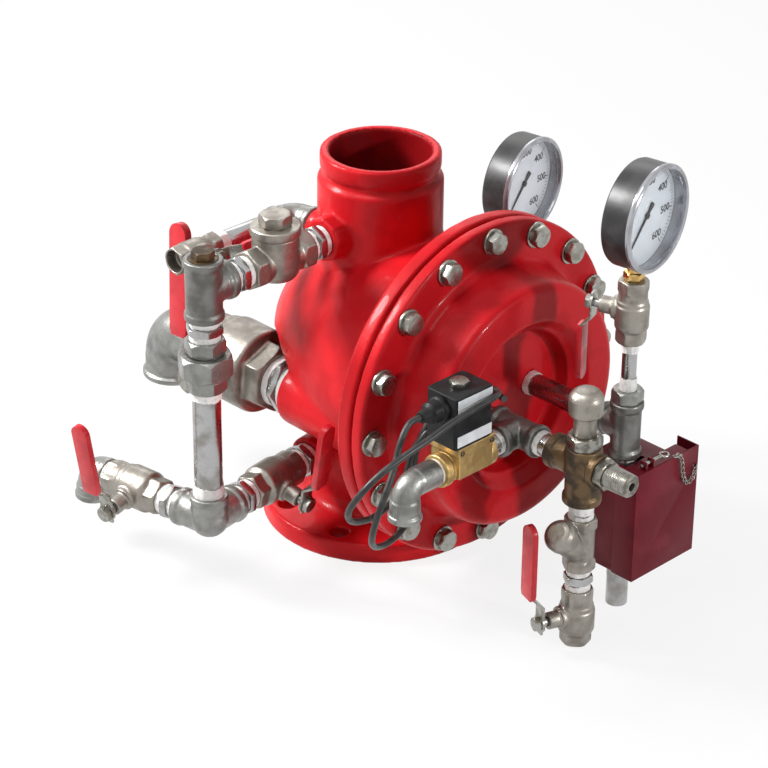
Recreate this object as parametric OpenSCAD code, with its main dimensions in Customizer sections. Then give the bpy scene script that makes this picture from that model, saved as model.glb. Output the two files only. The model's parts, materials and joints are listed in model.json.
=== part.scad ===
// Deluge valve with diaphragm cover and electric release trim. Millimetres, +Z up.
// The origin is the centre of the inlet flange's bottom face and the outlet neck stands on +Z.
// The cover faces -Y and the riser, drain and test lines stand on the -X side.

/* [Inlet and outlet] */
// Outside diameter of the inlet flange
flange_d = 229; // [222:1:236]
// Thickness of the inlet flange
flange_t = 21; // [18:0.5:26]
// Bolt circle of the inlet flange
flange_pcd = 190.5; // [186:0.5:194]
// Number of bolt holes in the inlet flange
flange_holes = 8; // [8:1:8]
// Diameter of the inlet flange's bolt holes
flange_hole_d = 19.1; // [16:0.1:22]
// Bore of the inlet
inlet_bore_d = 100; // [92:1:104]
// Outside diameter of the inlet neck
inlet_neck_d = 126; // [120:1:130]
// Height of the outlet's end above the inlet face
outlet_top = 384; // [378:1:392]
// Outside diameter of the grooved outlet end
outlet_d = 114.3; // [113:0.1:116]
// Bore of the outlet
outlet_bore_d = 96; // [90:1:98]
// Outside diameter of the neck under the groove
neck_d = 119; // [117:1:122]
// Diameter at the bottom of the coupling groove
groove_d = 108.8; // [107:0.1:111]
// Width of the coupling groove
groove_w = 8.7; // [7:0.1:10]
// Length of the end band above the groove
groove_from_end = 15.9; // [14:0.1:18]

/* [Body and cover] */
// Height of the cover's axis above the inlet face
axis_z = 188; // [186:1:190]
// Diameter of the body flange and the cover
cover_d = 329; // [322:1:334]
// Distance from the outlet's axis to the face where the diaphragm is clamped
clamp_y = 129; // [126:1:132]
// Thickness of the body flange
body_flange_t = 16; // [14:0.5:20]
// Thickness of the cover's flange
cover_flange_t = 13; // [11:0.5:16]
// Radius of the barrel where it meets the body flange
barrel_r = 122; // [116:1:126]
// How far the rounded back of the barrel reaches behind the outlet's axis
barrel_back = 112; // [104:1:120]
// Width of the cover's flange in front of its raised drum
cover_land = 39.5; // [37:0.5:42]
// Height of the drum in front of the cover's flange
drum_h = 50; // [44:1:56]
// Radius of the sunk middle of the cover at its mouth
recess_r = 82; // [76:1:86]
// Depth of the sunk middle of the cover
recess_depth = 30; // [24:1:34]
// Number of cover bolts
cover_bolts_n = 16; // [16:1:16]
// How far the bolt circle lies inside the cover's edge
bolt_edge = 14; // [13:0.5:15.5]
// Shank diameter of a cover bolt
bolt_d = 12; // [10:0.5:13]
// Width across the flats of a cover bolt's head
bolt_af = 19; // [17:0.5:20]
// Height of a cover bolt's head
bolt_head_h = 8; // [6:0.5:10]
// Outside diameter of a cover washer
washer_d = 25; // [23:0.5:26]
// Thickness of a cover washer
washer_t = 2.5; // [1.5:0.1:3]
// Thickness of the rubber diaphragm
diaphragm_t = 3; // [2:0.1:4]

/* [Trim places] */
// Distance of the riser from the side of the barrel
riser_out = 98; // [95:1:102]
// Height of the check valve line
check_z = 314; // [312:1:317]
// Height of the supply and test lines
low_z = 75; // [73:1:77]
// Turn of the supply and test lines about the riser
low_turn = 8; // [5:0.5:10]
// How far the main drain's axis stands inside the side of the barrel
drain_inset = 38; // [36:1:40]
// Height of the main drain line
drain_z = 150; // [148:1:152]
// Height of the alarm line
alarm_z = 297; // [295:0.5:299]
// How far the alarm line runs behind the outlet's axis
alarm_y = 86.5; // [86:0.5:89]
// Sideways place of the release line's port in the cover
port_a_x = 37; // [35:0.5:39]
// Sideways place of the solenoid line's port in the cover
port_b_x = 40; // [38:0.5:42]
// How far the release line's riser stands in front of the outlet's axis
line_a_y = 283; // [281:1:285]
// How far the solenoid line's tee stands in front of the outlet's axis
solenoid_y = 221; // [220:0.5:223]
// How far the latching valve stands in front of the outlet's axis
latch_y = 301; // [300:0.5:303]
// Sideways place of the supply gauge
rear_gauge_x = 172; // [168:1:178]
// How far the supply gauge line stands in front of the outlet's axis
rear_line_y = 14; // [12:0.5:15]
// Height of the supply gauge line's port
rear_port_z = 98; // [96:1:102]

/* [Gauges] */
// Diameter of a gauge case
gauge_d = 98; // [94:1:100]
// Depth of a gauge case
gauge_t = 31; // [28:1:34]
// Height of a gauge's brass socket above its valve
socket_h = 15; // [14:0.5:18]
// Turn of a gauge towards +X
gauge_turn = 9; // [0:1:12]

/* [Release box] */
// Width of the release box
box_w = 86; // [82:1:90]
// Depth of the release box
box_d = 60; // [58:1:62]
// Height of the release box
box_h = 112; // [108:1:113]
// Thickness of the release box's sheet metal
box_t = 1.5; // [1:0.1:2]
// Height of the release box's floor
box_z = 45; // [42:1:46]
// Distance from the release box's left wall to the pipe through it
box_pipe_x = 19.5; // [19:0.5:22]
// Distance from the release box's back to the pipe through it
box_pipe_y = 27; // [25:0.5:28]
// Radius of the lock pin
pin_r = 1.6; // [1.2:0.1:2]

/* [Running clearances] */
// Clearance round a pipe end in its socket
thread_gap = 0.15; // [0.1:0.01:0.25]
// Clearance between pieces that move on each other
run_gap = 0.3; // [0.25:0.05:0.4]
// Clearance between a bolt and its hole in the cover
hole_gap = 1; // [0.5:0.1:1.2]

/* [Hidden] */
$fn = 96;
eps = 0.02;
fine = 64;

// One row of pipe sizes: pipe radius, bore radius, bead radius, fitting radius,
// centre to end, hexagon across flats, depth of the socket
DN8 = [6.85, 4.6, 11, 9.5, 20, 17, 9];
DN15 = [10.65, 8, 15.6, 13.8, 28, 24, 12];
DN20 = [13.35, 10.5, 18.5, 17, 30, 31, 13];
DN40 = [24.15, 20.5, 31.5, 28.5, 52, 50, 19];
function pipe_r(s) = s[0];
function bore_r(s) = s[1];
function bead_r(s) = s[2];
function shell_r(s) = s[3];
function reach(s) = s[4];
function hex_af(s) = s[5];
function grip(s) = s[6];

// One row of ball valve sizes: pipe row, length, body radius, end hexagon, ball radius,
// bore radius, stem radius, height of the lever, length of the lever, width of the grip
V15 = [DN15, 58, 17, 26, 12.2, 7.5, 4, 37, 108, 19];
VA = [DN15, 52, 14.5, 25, 10.5, 6, 3.5, 33, 78, 14];
VG = [DN8, 62, 15.5, 25, 11, 5.5, 4, 36, 80, 14];
VR = [DN15, 46, 14.2, 24.5, 9.5, 5.5, 3, 21, 42, 12];
V20 = [DN20, 68, 20.5, 32, 15.5, 10, 4.5, 42, 112, 18];
V40 = [DN40, 104, 42, 60, 31, 20, 8, 60, 160, 23];
function v_pipe(v) = v[0];
function v_len(v) = v[1];
function v_r(v) = v[2];
function v_hex(v) = v[3];
function v_ball(v) = v[4];
function v_bore(v) = v[5];
function v_stem(v) = v[6];
function v_top(v) = v[7];
function v_arm(v) = v[8];
function v_grip(v) = v[9];

// Derived places of the body and the cover
cover_bolt_r = cover_d / 2 - bolt_edge;
diaphragm_r = cover_d / 2 - 4.5;
drum_r = cover_d / 2 - cover_land;
riser_x = barrel_r + riser_out;
drain_x = barrel_r - drain_inset;
back_y = -(clamp_y - body_flange_t);
cover_y = -(clamp_y + diaphragm_t);
cover_front = cover_y - cover_flange_t;
drum_front = cover_front - drum_h;
floor_y = drum_front + recess_depth;
cover_floor_t = 12;
seat_r = 46;
seat_tip = -(clamp_y - 13);
seat_w = 8;
plate_t = 8;
plate_r = seat_r + seat_w + 2;

// The lines of the trim: places along each pipe, measured from the riser or the port
function along(from, turn, s) = from + s * [cos(turn), sin(turn), 0];
riser = [-riser_x, 0, 0];
low_elbow = riser + [0, 0, low_z];
function supply(s) = along(low_elbow, low_turn, s);
function test(s) = along(low_elbow, low_turn + 90, s);
nipple_gap = 20;
hex_w = 8;
elbow_reach = 36;
elbow_up = 26;
supply_near = elbow_reach + nipple_gap;
supply_mid = supply_near + v_len(V20) / 2;
supply_end = supply_near + v_len(V20) + nipple_gap;
test_near = elbow_reach + nipple_gap;
test_mid = test_near + v_len(V20) / 2;
test_far = test_near + v_len(V20);
test_elbow_s = test_far + 24;

// The riser and what stands on it
union_h = 52;
tee_low = check_z - reach(DN20);
union_z = tee_low - nipple_gap - union_h;

// The check valve line, from the riser tee to the outlet neck
check_near = riser_x - reach(DN20) - nipple_gap;
check_len = 74;
check_x = -(check_near - check_len / 2);
check_boss_x = check_near - check_len - nipple_gap;
check_r = 17;

// The main drain line
drain_boss_y = 22;
drain_gap = 28;
drain_near = drain_boss_y + drain_gap;
drain_y = drain_near + v_len(V40) / 2;
drain_elbow_y = drain_near + v_len(V40) + 3 + reach(DN40);

// The alarm line
alarm_x = 30;
alarm_boss_y = 55.5;
alarm_run = 72;
alarm_valve_x = -(alarm_x + reach(DN15) + alarm_run + v_len(VA) / 2);

// The release line in front of the cover
line_a = [port_a_x, -line_a_y, 0];
gauge_valve_low = 276;
gauge_valve_z = gauge_valve_low + v_len(VG) / 2;
box_left = port_a_x - box_pipe_x;
box_back = -line_a_y + box_pipe_y;
box_front = box_back - box_d;
box_top = box_z + box_h;
release_z = box_z + 55;
outlet_pipe_low = 1;
latch = [-port_b_x, -latch_y, axis_z];
latch_reach = 36;
strainer_z = 134;
strainer_len = 54;
low_valve_z = 1 + v_len(V15) / 2;

// The supply gauge line beside the body
rear_valve_low = 176;
rear_valve_z = rear_valve_low + v_len(VG) / 2;
rear_boss_x = 82;
gauge_z = gauge_valve_low + v_len(VG) + socket_h + gauge_d / 2;
rear_gauge_z = rear_valve_low + v_len(VG) + socket_h + gauge_d / 2;

// The solenoid valve
sol_x = -113;
sol_len = 64;
sol_half = sol_len / 2;
coil = [-118, -solenoid_y - 1, 214];
coil_w = 46;
coil_d = 38;
coil_h = 51;
gland_z = 251;
gland_len = 26;
street_reach = 38;
street_x = sol_x - sol_half - street_reach;

// Flexible lead: hand-placed points from the gland to its bare end
cord_r = 3;
cord_pts = [
    [-167, -222, 251], [-180, -222, 250], [-192, -224, 238], [-204, -228, 217], [-216, -231, 200],
    [-224, -230, 182], [-225, -224, 160], [-216, -214, 140], [-199, -205, 126], [-176, -198, 120],
    [-153, -192, 124], [-140, -187, 142], [-138, -186, 168], [-138, -190, 196], [-133, -198, 222],
    [-114, -199, 238], [-94, -200, 243], [-83, -208, 245], [-80, -223, 248], [-86, -238, 252],
    [-102, -246, 255], [-126, -247, 254], [-152, -248, 252], [-182, -248, 246], [-212, -246, 239],
    [-236, -242, 229], [-251, -234, 212], [-252, -222, 192], [-241, -212, 174], [-220, -203, 160],
    [-194, -196, 152], [-168, -190, 154], [-150, -188, 172], [-144, -191, 196], [-136, -199, 214],
    [-114, -199, 229], [-94, -201, 234], [-76, -209, 237], [-73, -224, 240], [-80, -240, 244],
];
module along_y(p) { translate(p) rotate([90, 0, 0]) children(); }
module along_x(p) { translate(p) rotate([0, 90, 0]) children(); }

module hexagon(af, h) { cylinder(d = af / cos(30), h = h, $fn = 6); }

// Hexagon with its corners turned down as on a bar-stock nut
module hex_chamfered(af, h, turn = 0) {
    intersection() {
        rotate([0, 0, turn]) hexagon(af, h);
        rotate_extrude() polygon([[0, 0], [af * 0.5, 0], [af * 0.585, h * 0.18],
            [af * 0.585, h * 0.82], [af * 0.5, h], [0, h]]);
    }
}

module tube(r, bore, h) {
    difference() {
        cylinder(r = r, h = h);
        translate([0, 0, -1]) cylinder(r = bore, h = h + 2);
    }
}

// A threaded nipple with a hexagon in its middle, centred on the origin along +Z
module hex_nipple(s, gap) {
    full = gap + 2 * (grip(s) - 1);
    difference() {
        union() {
            translate([0, 0, -full / 2]) cylinder(r = pipe_r(s), h = full);
            translate([0, 0, -hex_w / 2]) hex_chamfered(hex_af(s), hex_w);
        }
        translate([0, 0, -full]) cylinder(r = bore_r(s), h = 2 * full);
    }
}

// Outside of one socket end along +Z, from the centre of a fitting to its face
module socket_shell(s, reach) {
    bead = 7;
    cylinder(r = shell_r(s), h = reach - 1);
    rotate_extrude() polygon([[0, reach - bead - 2], [shell_r(s) - 0.5, reach - bead - 2],
        [bead_r(s), reach - bead + 0.5], [bead_r(s), reach - 1], [bead_r(s) - 1, reach], [0, reach]]);
}
module socket_bore(s, reach, start = -4) {
    translate([0, 0, start]) cylinder(r = bore_r(s), h = reach + 1 - start);
    translate([0, 0, reach - grip(s)]) cylinder(r = pipe_r(s) + thread_gap, h = grip(s) + 1);
}

module tee(s) {
    ends = [[0, 0, 0], [180, 0, 0], [0, 90, 0]];
    difference() {
        union() for (e = ends) rotate(e) socket_shell(s, reach(s));
        for (e = ends) rotate(e) socket_bore(s, reach(s));
    }
}

// A quarter bend between the local +X and +Z axes
module quarter_bend(bend, r) {
    translate([bend, 0, bend]) rotate([90, 0, 0]) rotate([0, 0, 180])
        rotate_extrude(angle = 90) translate([bend, 0]) circle(r = r);
}

// A 90 degree elbow whose ends face local +X and +Z
module elbow(s, reach) {
    bend = max(reach * 0.52, shell_r(s) + 0.6);
    difference() {
        union() {
            quarter_bend(bend, shell_r(s) - 0.5);
            translate([0, 0, bend - 0.5]) leg_shell(s, reach - bend + 0.5);
            translate([bend - 0.5, 0, 0]) rotate([0, 90, 0]) leg_shell(s, reach - bend + 0.5);
        }
        for (turn = [0, 90]) rotate([0, turn, 0]) socket_bore(s, reach, bend * 0.25);
    }
}
module leg_shell(s, reach) {
    bead = 7;
    cylinder(r = shell_r(s), h = reach - 1);
    rotate_extrude() polygon([[0, reach - bead], [shell_r(s) - 0.5, reach - bead],
        [bead_r(s), reach - bead + 1.5], [bead_r(s), reach - 1], [bead_r(s) - 1, reach], [0, reach]]);
}

// Ball valve: local X is the pipe, local +Z the stem, the origin is the ball's centre
module ball_valve_body(v) {
    half = v_len(v) / 2;
    r = v_r(v);
    neck = v_stem(v) + 4;
    gland_top = v_top(v) - 6;
    hex_len = v_len(v) * 0.2;
    difference() {
        union() {
            rotate([0, 90, 0]) rotate_extrude() polygon([
                [0, -half + hex_len], [r * 0.84, -half + hex_len], [r * 0.96, -half + hex_len + 2],
                [r, -half + hex_len + 4], [r, v_ball(v) * 0.55], [r * 0.93, v_ball(v) * 0.62],
                [r * 0.93, v_ball(v) * 0.9], [r * 0.86, v_ball(v) * 1.05],
                [r * 0.84, half - 4], [r * 0.8, half], [0, half]]);
            translate([-half, 0, 0]) rotate([0, 90, 0])
                hex_chamfered(v_hex(v), hex_len + 1, 30);
            translate([half - hex_len, 0, 0]) rotate([0, 90, 0])
                hex_chamfered(v_hex(v), hex_len, 30);
            cylinder(r = neck + 3, h = r + 2);
            cylinder(r = neck, h = gland_top);
        }
        sphere(r = v_ball(v) + run_gap, $fn = fine);
        translate([-half - 1, 0, 0]) rotate([0, 90, 0]) cylinder(r = v_bore(v), h = 2 * half + 2);
        for (end = [-1, 1]) translate([end * half, 0, 0]) rotate([0, -90 * end, 0])
            translate([0, 0, -1])
                cylinder(r = pipe_r(v_pipe(v)) + thread_gap, h = grip(v_pipe(v)) + 1);
        cylinder(r = v_stem(v) + run_gap, h = v_top(v));
    }
}

// The ball on its stem, with the waterway along local X when the lever lies along X
module ball_and_stem(v) {
    difference() {
        union() {
            sphere(r = v_ball(v), $fn = fine);
            cylinder(r = v_stem(v), h = v_top(v) + lever_t(v));
        }
        translate([-v_ball(v) - 1, 0, 0]) rotate([0, 90, 0])
            cylinder(r = v_bore(v), h = 2 * v_ball(v) + 2);
    }
}
function lever_t(v) = v_stem(v) * 0.55;

// Flat cranked lever with a dipped grip and its stem nut
module lever(v) {
    t = lever_t(v);
    arm = v_arm(v);
    w = v_grip(v);
    root_w = v_stem(v) * 2 + 7;
    crank = arm * 0.18;
    rise = arm * 0.12;
    grip_t = t + 3.4;
    difference() {
        union() {
            translate([0, 0, v_top(v)]) {
                cylinder(d = root_w + 2, h = t);
                translate([0, -root_w / 2 + 1, 0]) cube([crank, root_w - 2, t]);
                translate([-root_w / 2 - 3, -root_w / 2 + 3, 0]) cube([root_w / 2, root_w - 6, t]);
                translate([crank, 0, 0]) rotate([90, 0, 0]) linear_extrude(root_w - 2, center = true)
                    polygon([[-1, 0], [0.2, 0], [rise, rise], [rise, rise + t], [-1, t]]);
            }
            translate([crank + rise - 1, 0, v_top(v) + rise - (grip_t - t) / 2])
                linear_extrude(grip_t) grip_outline(arm - crank - rise, w);
        }
        translate([0, 0, v_top(v) - 1]) cylinder(r = v_stem(v) + eps, h = t + 2);
    }
    translate([0, 0, v_top(v) + t]) hex_chamfered(v_stem(v) * 3.1, v_stem(v) * 1.3);
}
module grip_outline(len, w) {
    polygon([[0, -w * 0.42], [w * 0.25, -w / 2], [len - w / 2, -w / 2],
        [len - w / 2, w / 2], [w * 0.25, w / 2], [0, w * 0.42]]);
    translate([len - w / 2, 0]) circle(d = w);
}

// Where each ball valve stands: centre, turn of the body, turn of the lever at rest
supply_at = [supply(supply_mid), [104, 0, low_turn], 98];
test_at = [test(test_mid), [-100, 0, 90 + low_turn], -90];
drain_at = [[-drain_x, drain_y, drain_z], [-84, 0, 90], -85];
alarm_at = [[alarm_valve_x, alarm_y, alarm_z], [76, 0, 0], 0];
strainer_at = [[-port_b_x, -latch_y, low_valve_z], [0, -90, -18], 0];
gauge_at = [[port_a_x, -line_a_y, gauge_valve_z], [0, -90, -70], 180];
rear_gauge_at = [[rear_gauge_x, -rear_line_y, rear_valve_z], [0, -90, -90], 180];
release_at = [[port_a_x, -line_a_y, release_z], [0, -90, 90], -90];
module at_valve(a) { translate(a[0]) rotate(a[1]) children(); }
module at_lever(a) { at_valve(a) rotate([0, 0, a[2]]) children(); }

// The red casting: flange, barrel, necks and bosses, with the waterways cut through it
module barrel_shape() {
    depth = barrel_back - back_y - 12;
    rotate([90, 0, 0]) rotate_extrude() polygon(concat(
        [[0, -barrel_back]],
        [for (a = [4:4:88]) [barrel_r * sin(a), -(depth * cos(a)) + (depth - barrel_back)]],
        [[barrel_r, -back_y - 12], [barrel_r + 2, -back_y - 7], [barrel_r + 7, -back_y - 2],
         [barrel_r + 7, -back_y + 2], [0, -back_y + 2]]));
}
module body_outside() {
    // Inlet flange and neck
    rotate_extrude() polygon([[0, 0], [flange_d / 2 - 1.5, 0], [flange_d / 2, 1.5],
        [flange_d / 2, flange_t - 1.5], [flange_d / 2 - 1.5, flange_t],
        [inlet_neck_d / 2 + 11, flange_t], [inlet_neck_d / 2 + 6, flange_t + 2.5],
        [inlet_neck_d / 2 + 2, flange_t + 7], [inlet_neck_d / 2, flange_t + 14],
        [inlet_neck_d / 2, axis_z], [0, axis_z]]);
    translate([0, 0, axis_z]) barrel_shape();
    // Outlet neck with its coupling groove
    rotate_extrude() polygon([[0, axis_z], [neck_d / 2, axis_z],
        [neck_d / 2, outlet_top - groove_from_end - groove_w - 1.5],
        [groove_d / 2 + 2, outlet_top - groove_from_end - groove_w],
        [groove_d / 2, outlet_top - groove_from_end - groove_w],
        [groove_d / 2, outlet_top - groove_from_end],
        [outlet_d / 2, outlet_top - groove_from_end],
        [outlet_d / 2, outlet_top - 1], [outlet_d / 2 - 1, outlet_top], [0, outlet_top]]);
    // Body flange that carries the cover
    along_y([0, back_y, axis_z]) rotate_extrude() polygon([[0, 0], [cover_d / 2 - 2, 0],
        [cover_d / 2, 2], [cover_d / 2, body_flange_t - 1],
        [cover_d / 2 - 1, body_flange_t], [0, body_flange_t]]);
    // Boss of the check valve line
    along_x([-check_boss_x, 0, check_z]) cylinder(r = 22, h = check_boss_x - 30, $fn = 8);
    // Boss of the supply line
    translate(supply(supply_end)) rotate([0, 90, low_turn]) cylinder(r = 20, h = 40);
    // Boss of the main drain
    along_y([-drain_x, drain_boss_y, drain_z])
        rotate_extrude() polygon([[0, 0], [31, 0], [32.5, 1.5], [33.5, 90], [0, 90]]);
    // Boss of the alarm line
    along_y([-alarm_x, alarm_boss_y, alarm_z]) cylinder(r = 17, h = alarm_boss_y - 20);
    // Boss of the supply gauge line
    along_x([30, -rear_line_y, rear_port_z]) cylinder(r = 17, h = rear_boss_x - 26);
}
module waterways() {
    chamber_r = 96;
    // Inlet passage up and forward to the seat
    translate([0, 0, -1]) cylinder(d = inlet_bore_d, h = axis_z + 1);
    translate([0, 0, axis_z]) sphere(d = inlet_bore_d);
    along_y([0, 0, axis_z]) cylinder(r = seat_r, h = clamp_y + 1);
    // Outlet chamber round the seat
    difference() {
        along_y([0, back_y + 42, axis_z]) cylinder(r = chamber_r, h = clamp_y);
        along_y([0, 0, axis_z]) cylinder(r = seat_r + seat_w, h = -seat_tip - 4);
    }
    // Outlet passage
    translate([0, 0, axis_z + 66]) cylinder(d = outlet_bore_d, h = outlet_top);
    translate([-42, back_y + 30, axis_z + 66]) cube([84, 60, 22]);
}
module body_ports() {
    for (i = [0:flange_holes - 1]) rotate([0, 0, (i + 0.5) * 360 / flange_holes])
        translate([flange_pcd / 2, 0, -1]) cylinder(d = flange_hole_d, h = flange_t + 2);
    cover_bolt_places() translate([0, -clamp_y - 1, 0]) rotate([-90, 0, 0])
        cylinder(r = bolt_d / 2 + thread_gap, h = body_flange_t + 2);
    along_x([-check_boss_x - 1, 0, check_z]) {
        cylinder(r = pipe_r(DN20) + thread_gap, h = grip(DN20) + 1);
        cylinder(r = bore_r(DN20), h = check_boss_x - 20);
    }
    translate(supply(supply_end)) rotate([0, 90, low_turn]) {
        translate([0, 0, -1]) cylinder(r = pipe_r(DN20) + thread_gap, h = grip(DN20) + 1);
        cylinder(r = bore_r(DN20), h = 50);
    }
    along_y([-drain_x, drain_boss_y + 1, drain_z]) {
        cylinder(r = pipe_r(DN40) + thread_gap, h = grip(DN40) + 1);
        cylinder(r = bore_r(DN40), h = 104);
    }
    // The neck bulges past the alarm boss, so this hole starts further out
    along_y([-alarm_x, alarm_boss_y + 4, alarm_z]) {
        cylinder(r = pipe_r(DN15) + thread_gap, h = grip(DN15) + 4);
        cylinder(r = bore_r(DN15), h = 40);
    }
    along_x([rear_boss_x, -rear_line_y, rear_port_z]) cylinder(r = 18, h = 30);
    along_x([rear_boss_x - grip(DN15), -rear_line_y, rear_port_z]) {
        cylinder(r = pipe_r(DN15) + thread_gap, h = grip(DN15) + 1);
        translate([0, 0, -40]) cylinder(r = bore_r(DN15), h = 50);
    }
}
module cover_bolt_places() {
    translate([0, 0, axis_z]) for (i = [0:cover_bolts_n - 1])
        rotate([0, i * 360 / cover_bolts_n, 0]) translate([cover_bolt_r, 0, 0]) children();
}
module valve_body() {
    color("firebrick") difference() {
        body_outside();
        waterways();
        body_ports();
        // Pocket in the back of the casting that clears the main drain's nipple and valve
        along_y([-drain_x, drain_y + v_len(V40), drain_z]) rotate_extrude() polygon([[0, 0], [46, 0],
            [46, v_len(V40) * 1.45], [34, drain_y - drain_boss_y + v_len(V40) - 4],
            [32, drain_y - drain_boss_y + v_len(V40)], [0, drain_y - drain_boss_y + v_len(V40)]]);
    }
}

// Bronze ring pressed on the seat's rim
module seat_ring() {
    color("goldenrod") along_y([0, seat_tip + 4, axis_z])
        tube(seat_r + seat_w, seat_r, 4);
}
module diaphragm() {
    color("dimgray") along_y([0, -clamp_y, axis_z]) difference() {
        cylinder(r = diaphragm_r, h = diaphragm_t);
        for (i = [0:cover_bolts_n - 1]) rotate([0, 0, i * 360 / cover_bolts_n])
            translate([cover_bolt_r, 0, -1]) cylinder(r = bolt_d / 2 + hole_gap, h = diaphragm_t + 2);
    }
}
module seal_plate() {
    back = seat_tip - run_gap;
    pad_h = clamp_y + back - run_gap;
    color("silver") along_y([0, back, axis_z]) {
        rotate_extrude() polygon([[0, 0], [plate_r - 1, 0], [plate_r, 1],
            [plate_r, plate_t - 1], [plate_r - 1, plate_t], [20, plate_t], [18, pad_h], [0, pad_h]]);
    }
}

// Sweeps a round section along points, for the spring and the lead
function unit(v) = v / norm(v);
function heading(p, i) = unit(p[min(i + 1, len(p) - 1)] - p[max(i - 1, 0)]);
function flatten_to(n, t) = unit(n - (n * t) * t);
function normals(p, first) = [
    for (i = 0, n = flatten_to(first, heading(p, 0)); i < len(p);
        i = i + 1, n = flatten_to(n, heading(p, min(i, len(p) - 1)))) n];
module sweep(p, r, sides, first) {
    n = normals(p, first);
    rings = len(p);
    points = [for (i = [0:rings - 1]) for (j = [0:sides - 1])
        let (a = j * 360 / sides, b = cross(heading(p, i), n[i]))
        p[i] + r * (cos(a) * n[i] + sin(a) * b)];
    walls = [for (i = [0:rings - 2]) for (j = [0:sides - 1])
        let (k = (j + 1) % sides)
        [i * sides + k, i * sides + j, (i + 1) * sides + j, (i + 1) * sides + k]];
    caps = [[for (j = [0:sides - 1]) j], [for (j = [sides - 1:-1:0]) (rings - 1) * sides + j]];
    polyhedron(points, concat(walls, caps), convexity = 10);
}
function catmull(a, b, c, d, t) = 0.5 * ((2 * b) + (c - a) * t
    + (2 * a - 5 * b + 4 * c - d) * t * t + (3 * b - a - 3 * c + d) * t * t * t);
function smooth_path(p, k) = concat(
    [for (i = [0:len(p) - 2]) for (j = [0:k - 1])
        catmull(p[max(i - 1, 0)], p[i], p[i + 1], p[min(i + 2, len(p) - 1)], j / k)],
    [p[len(p) - 1]]);

module closing_spring() {
    coil_r = 27;
    wire_r = 1.5;
    turns = 3;
    low = -cover_y + wire_r + run_gap;
    high = -floor_y - cover_floor_t - wire_r - run_gap;
    steps = turns * 16;
    color("darkgray") sweep([for (i = [0:steps]) let (a = i * 360 / 16)
        [coil_r * cos(a), -low - (high - low) * i / steps, axis_z + coil_r * sin(a)]],
        wire_r, 6, [1, 0, 0]);
}

// Cover: a flange and a drum with a sunk middle, hollow behind
module cover_profile() {
    polygon([[0, 0], [cover_d / 2 - 1, 0], [cover_d / 2, 1], [cover_d / 2, cover_flange_t - 2],
        [cover_d / 2 - 2, cover_flange_t], [drum_r + 7, cover_flange_t],
        [drum_r + 3, cover_flange_t + 1.5], [drum_r, cover_flange_t + 6],
        for (a = [0:15:90]) [drum_r - 14 + 9 * cos(a), cover_flange_t + drum_h - 9 + 9 * sin(a)],
        [recess_r + 2, cover_flange_t + drum_h], [recess_r, cover_flange_t + drum_h - 2],
        [recess_r - 8, cover_flange_t + drum_h - 11], [recess_r - 12, cover_flange_t + drum_h - 12],
        [recess_r - 14, cover_flange_t + drum_h - recess_depth + 3],
        [recess_r - 17, cover_flange_t + drum_h - recess_depth],
        [0, cover_flange_t + drum_h - recess_depth]]);
}
module cover() {
    inner = drum_r - 19;
    floor_in = cover_flange_t + drum_h - recess_depth - cover_floor_t;
    color("firebrick") difference() {
        along_y([0, cover_y, axis_z]) rotate_extrude() cover_profile();
        along_y([0, cover_y, axis_z]) rotate_extrude() polygon([[0, -1], [inner, -1],
            [inner, cover_flange_t + drum_h - 14], [recess_r + 12, cover_flange_t + drum_h - 14],
            [recess_r + 12, floor_in + 2], [recess_r + 10, floor_in], [0, floor_in]]);
        cover_bolt_places() translate([0, cover_y + 1, 0]) rotate([90, 0, 0])
            cylinder(r = bolt_d / 2 + hole_gap, h = cover_flange_t + 2);
        for (x = [port_a_x, -port_b_x]) along_y([x, floor_y + cover_floor_t + 1, axis_z])
            cylinder(r = pipe_r(DN15) + thread_gap, h = cover_floor_t + 2);
    }
}
module cover_bolts() {
    head = cover_front - washer_t;
    color("lightgray") cover_bolt_places() {
        translate([0, head, 0]) rotate([90, 0, 0]) hex_chamfered(bolt_af, bolt_head_h);
        translate([0, -clamp_y + body_flange_t - 1, 0]) rotate([90, 0, 0])
            cylinder(d = bolt_d, h = -head - clamp_y + body_flange_t - 1 + eps, $fn = 32);
    }
}
module cover_washers() {
    color("gainsboro") cover_bolt_places() translate([0, cover_front, 0]) rotate([90, 0, 0])
        tube(washer_d / 2, bolt_d / 2 + 0.4, washer_t);
}

// Threaded hexagon nipples, each with its centre, direction, pipe size and visible length
function mid(a, b) = (a + b) / 2;
nipples = [
    [[-mid(riser_x - reach(DN20), check_near), 0, check_z], [0, 90, 0], DN20, nipple_gap],
    [[-(check_near - check_len - nipple_gap / 2), 0, check_z], [0, 90, 0], DN20, nipple_gap],
    [[-riser_x, 0, tee_low - nipple_gap / 2], [0, 0, 0], DN20, nipple_gap],
    [supply(elbow_reach + nipple_gap / 2), [0, 90, low_turn], DN20, nipple_gap],
    [supply(supply_end - nipple_gap / 2), [0, 90, low_turn], DN20, nipple_gap],
    [test(elbow_reach + nipple_gap / 2), [0, 90, low_turn + 90], DN20, nipple_gap],
    [[-drain_x, drain_boss_y + drain_gap / 2, drain_z], [90, 0, 0], DN40, drain_gap],
    [[-port_b_x, -latch_y, mid(low_valve_z + v_len(V15) / 2, strainer_z - strainer_len)],
        [0, 0, 0], DN15, strainer_z - strainer_len - low_valve_z - v_len(V15) / 2],
];
module hex_nipples() {
    color("silver") for (n = nipples) translate(n[0]) rotate(n[1]) hex_nipple(n[2], n[3]);
}

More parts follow.
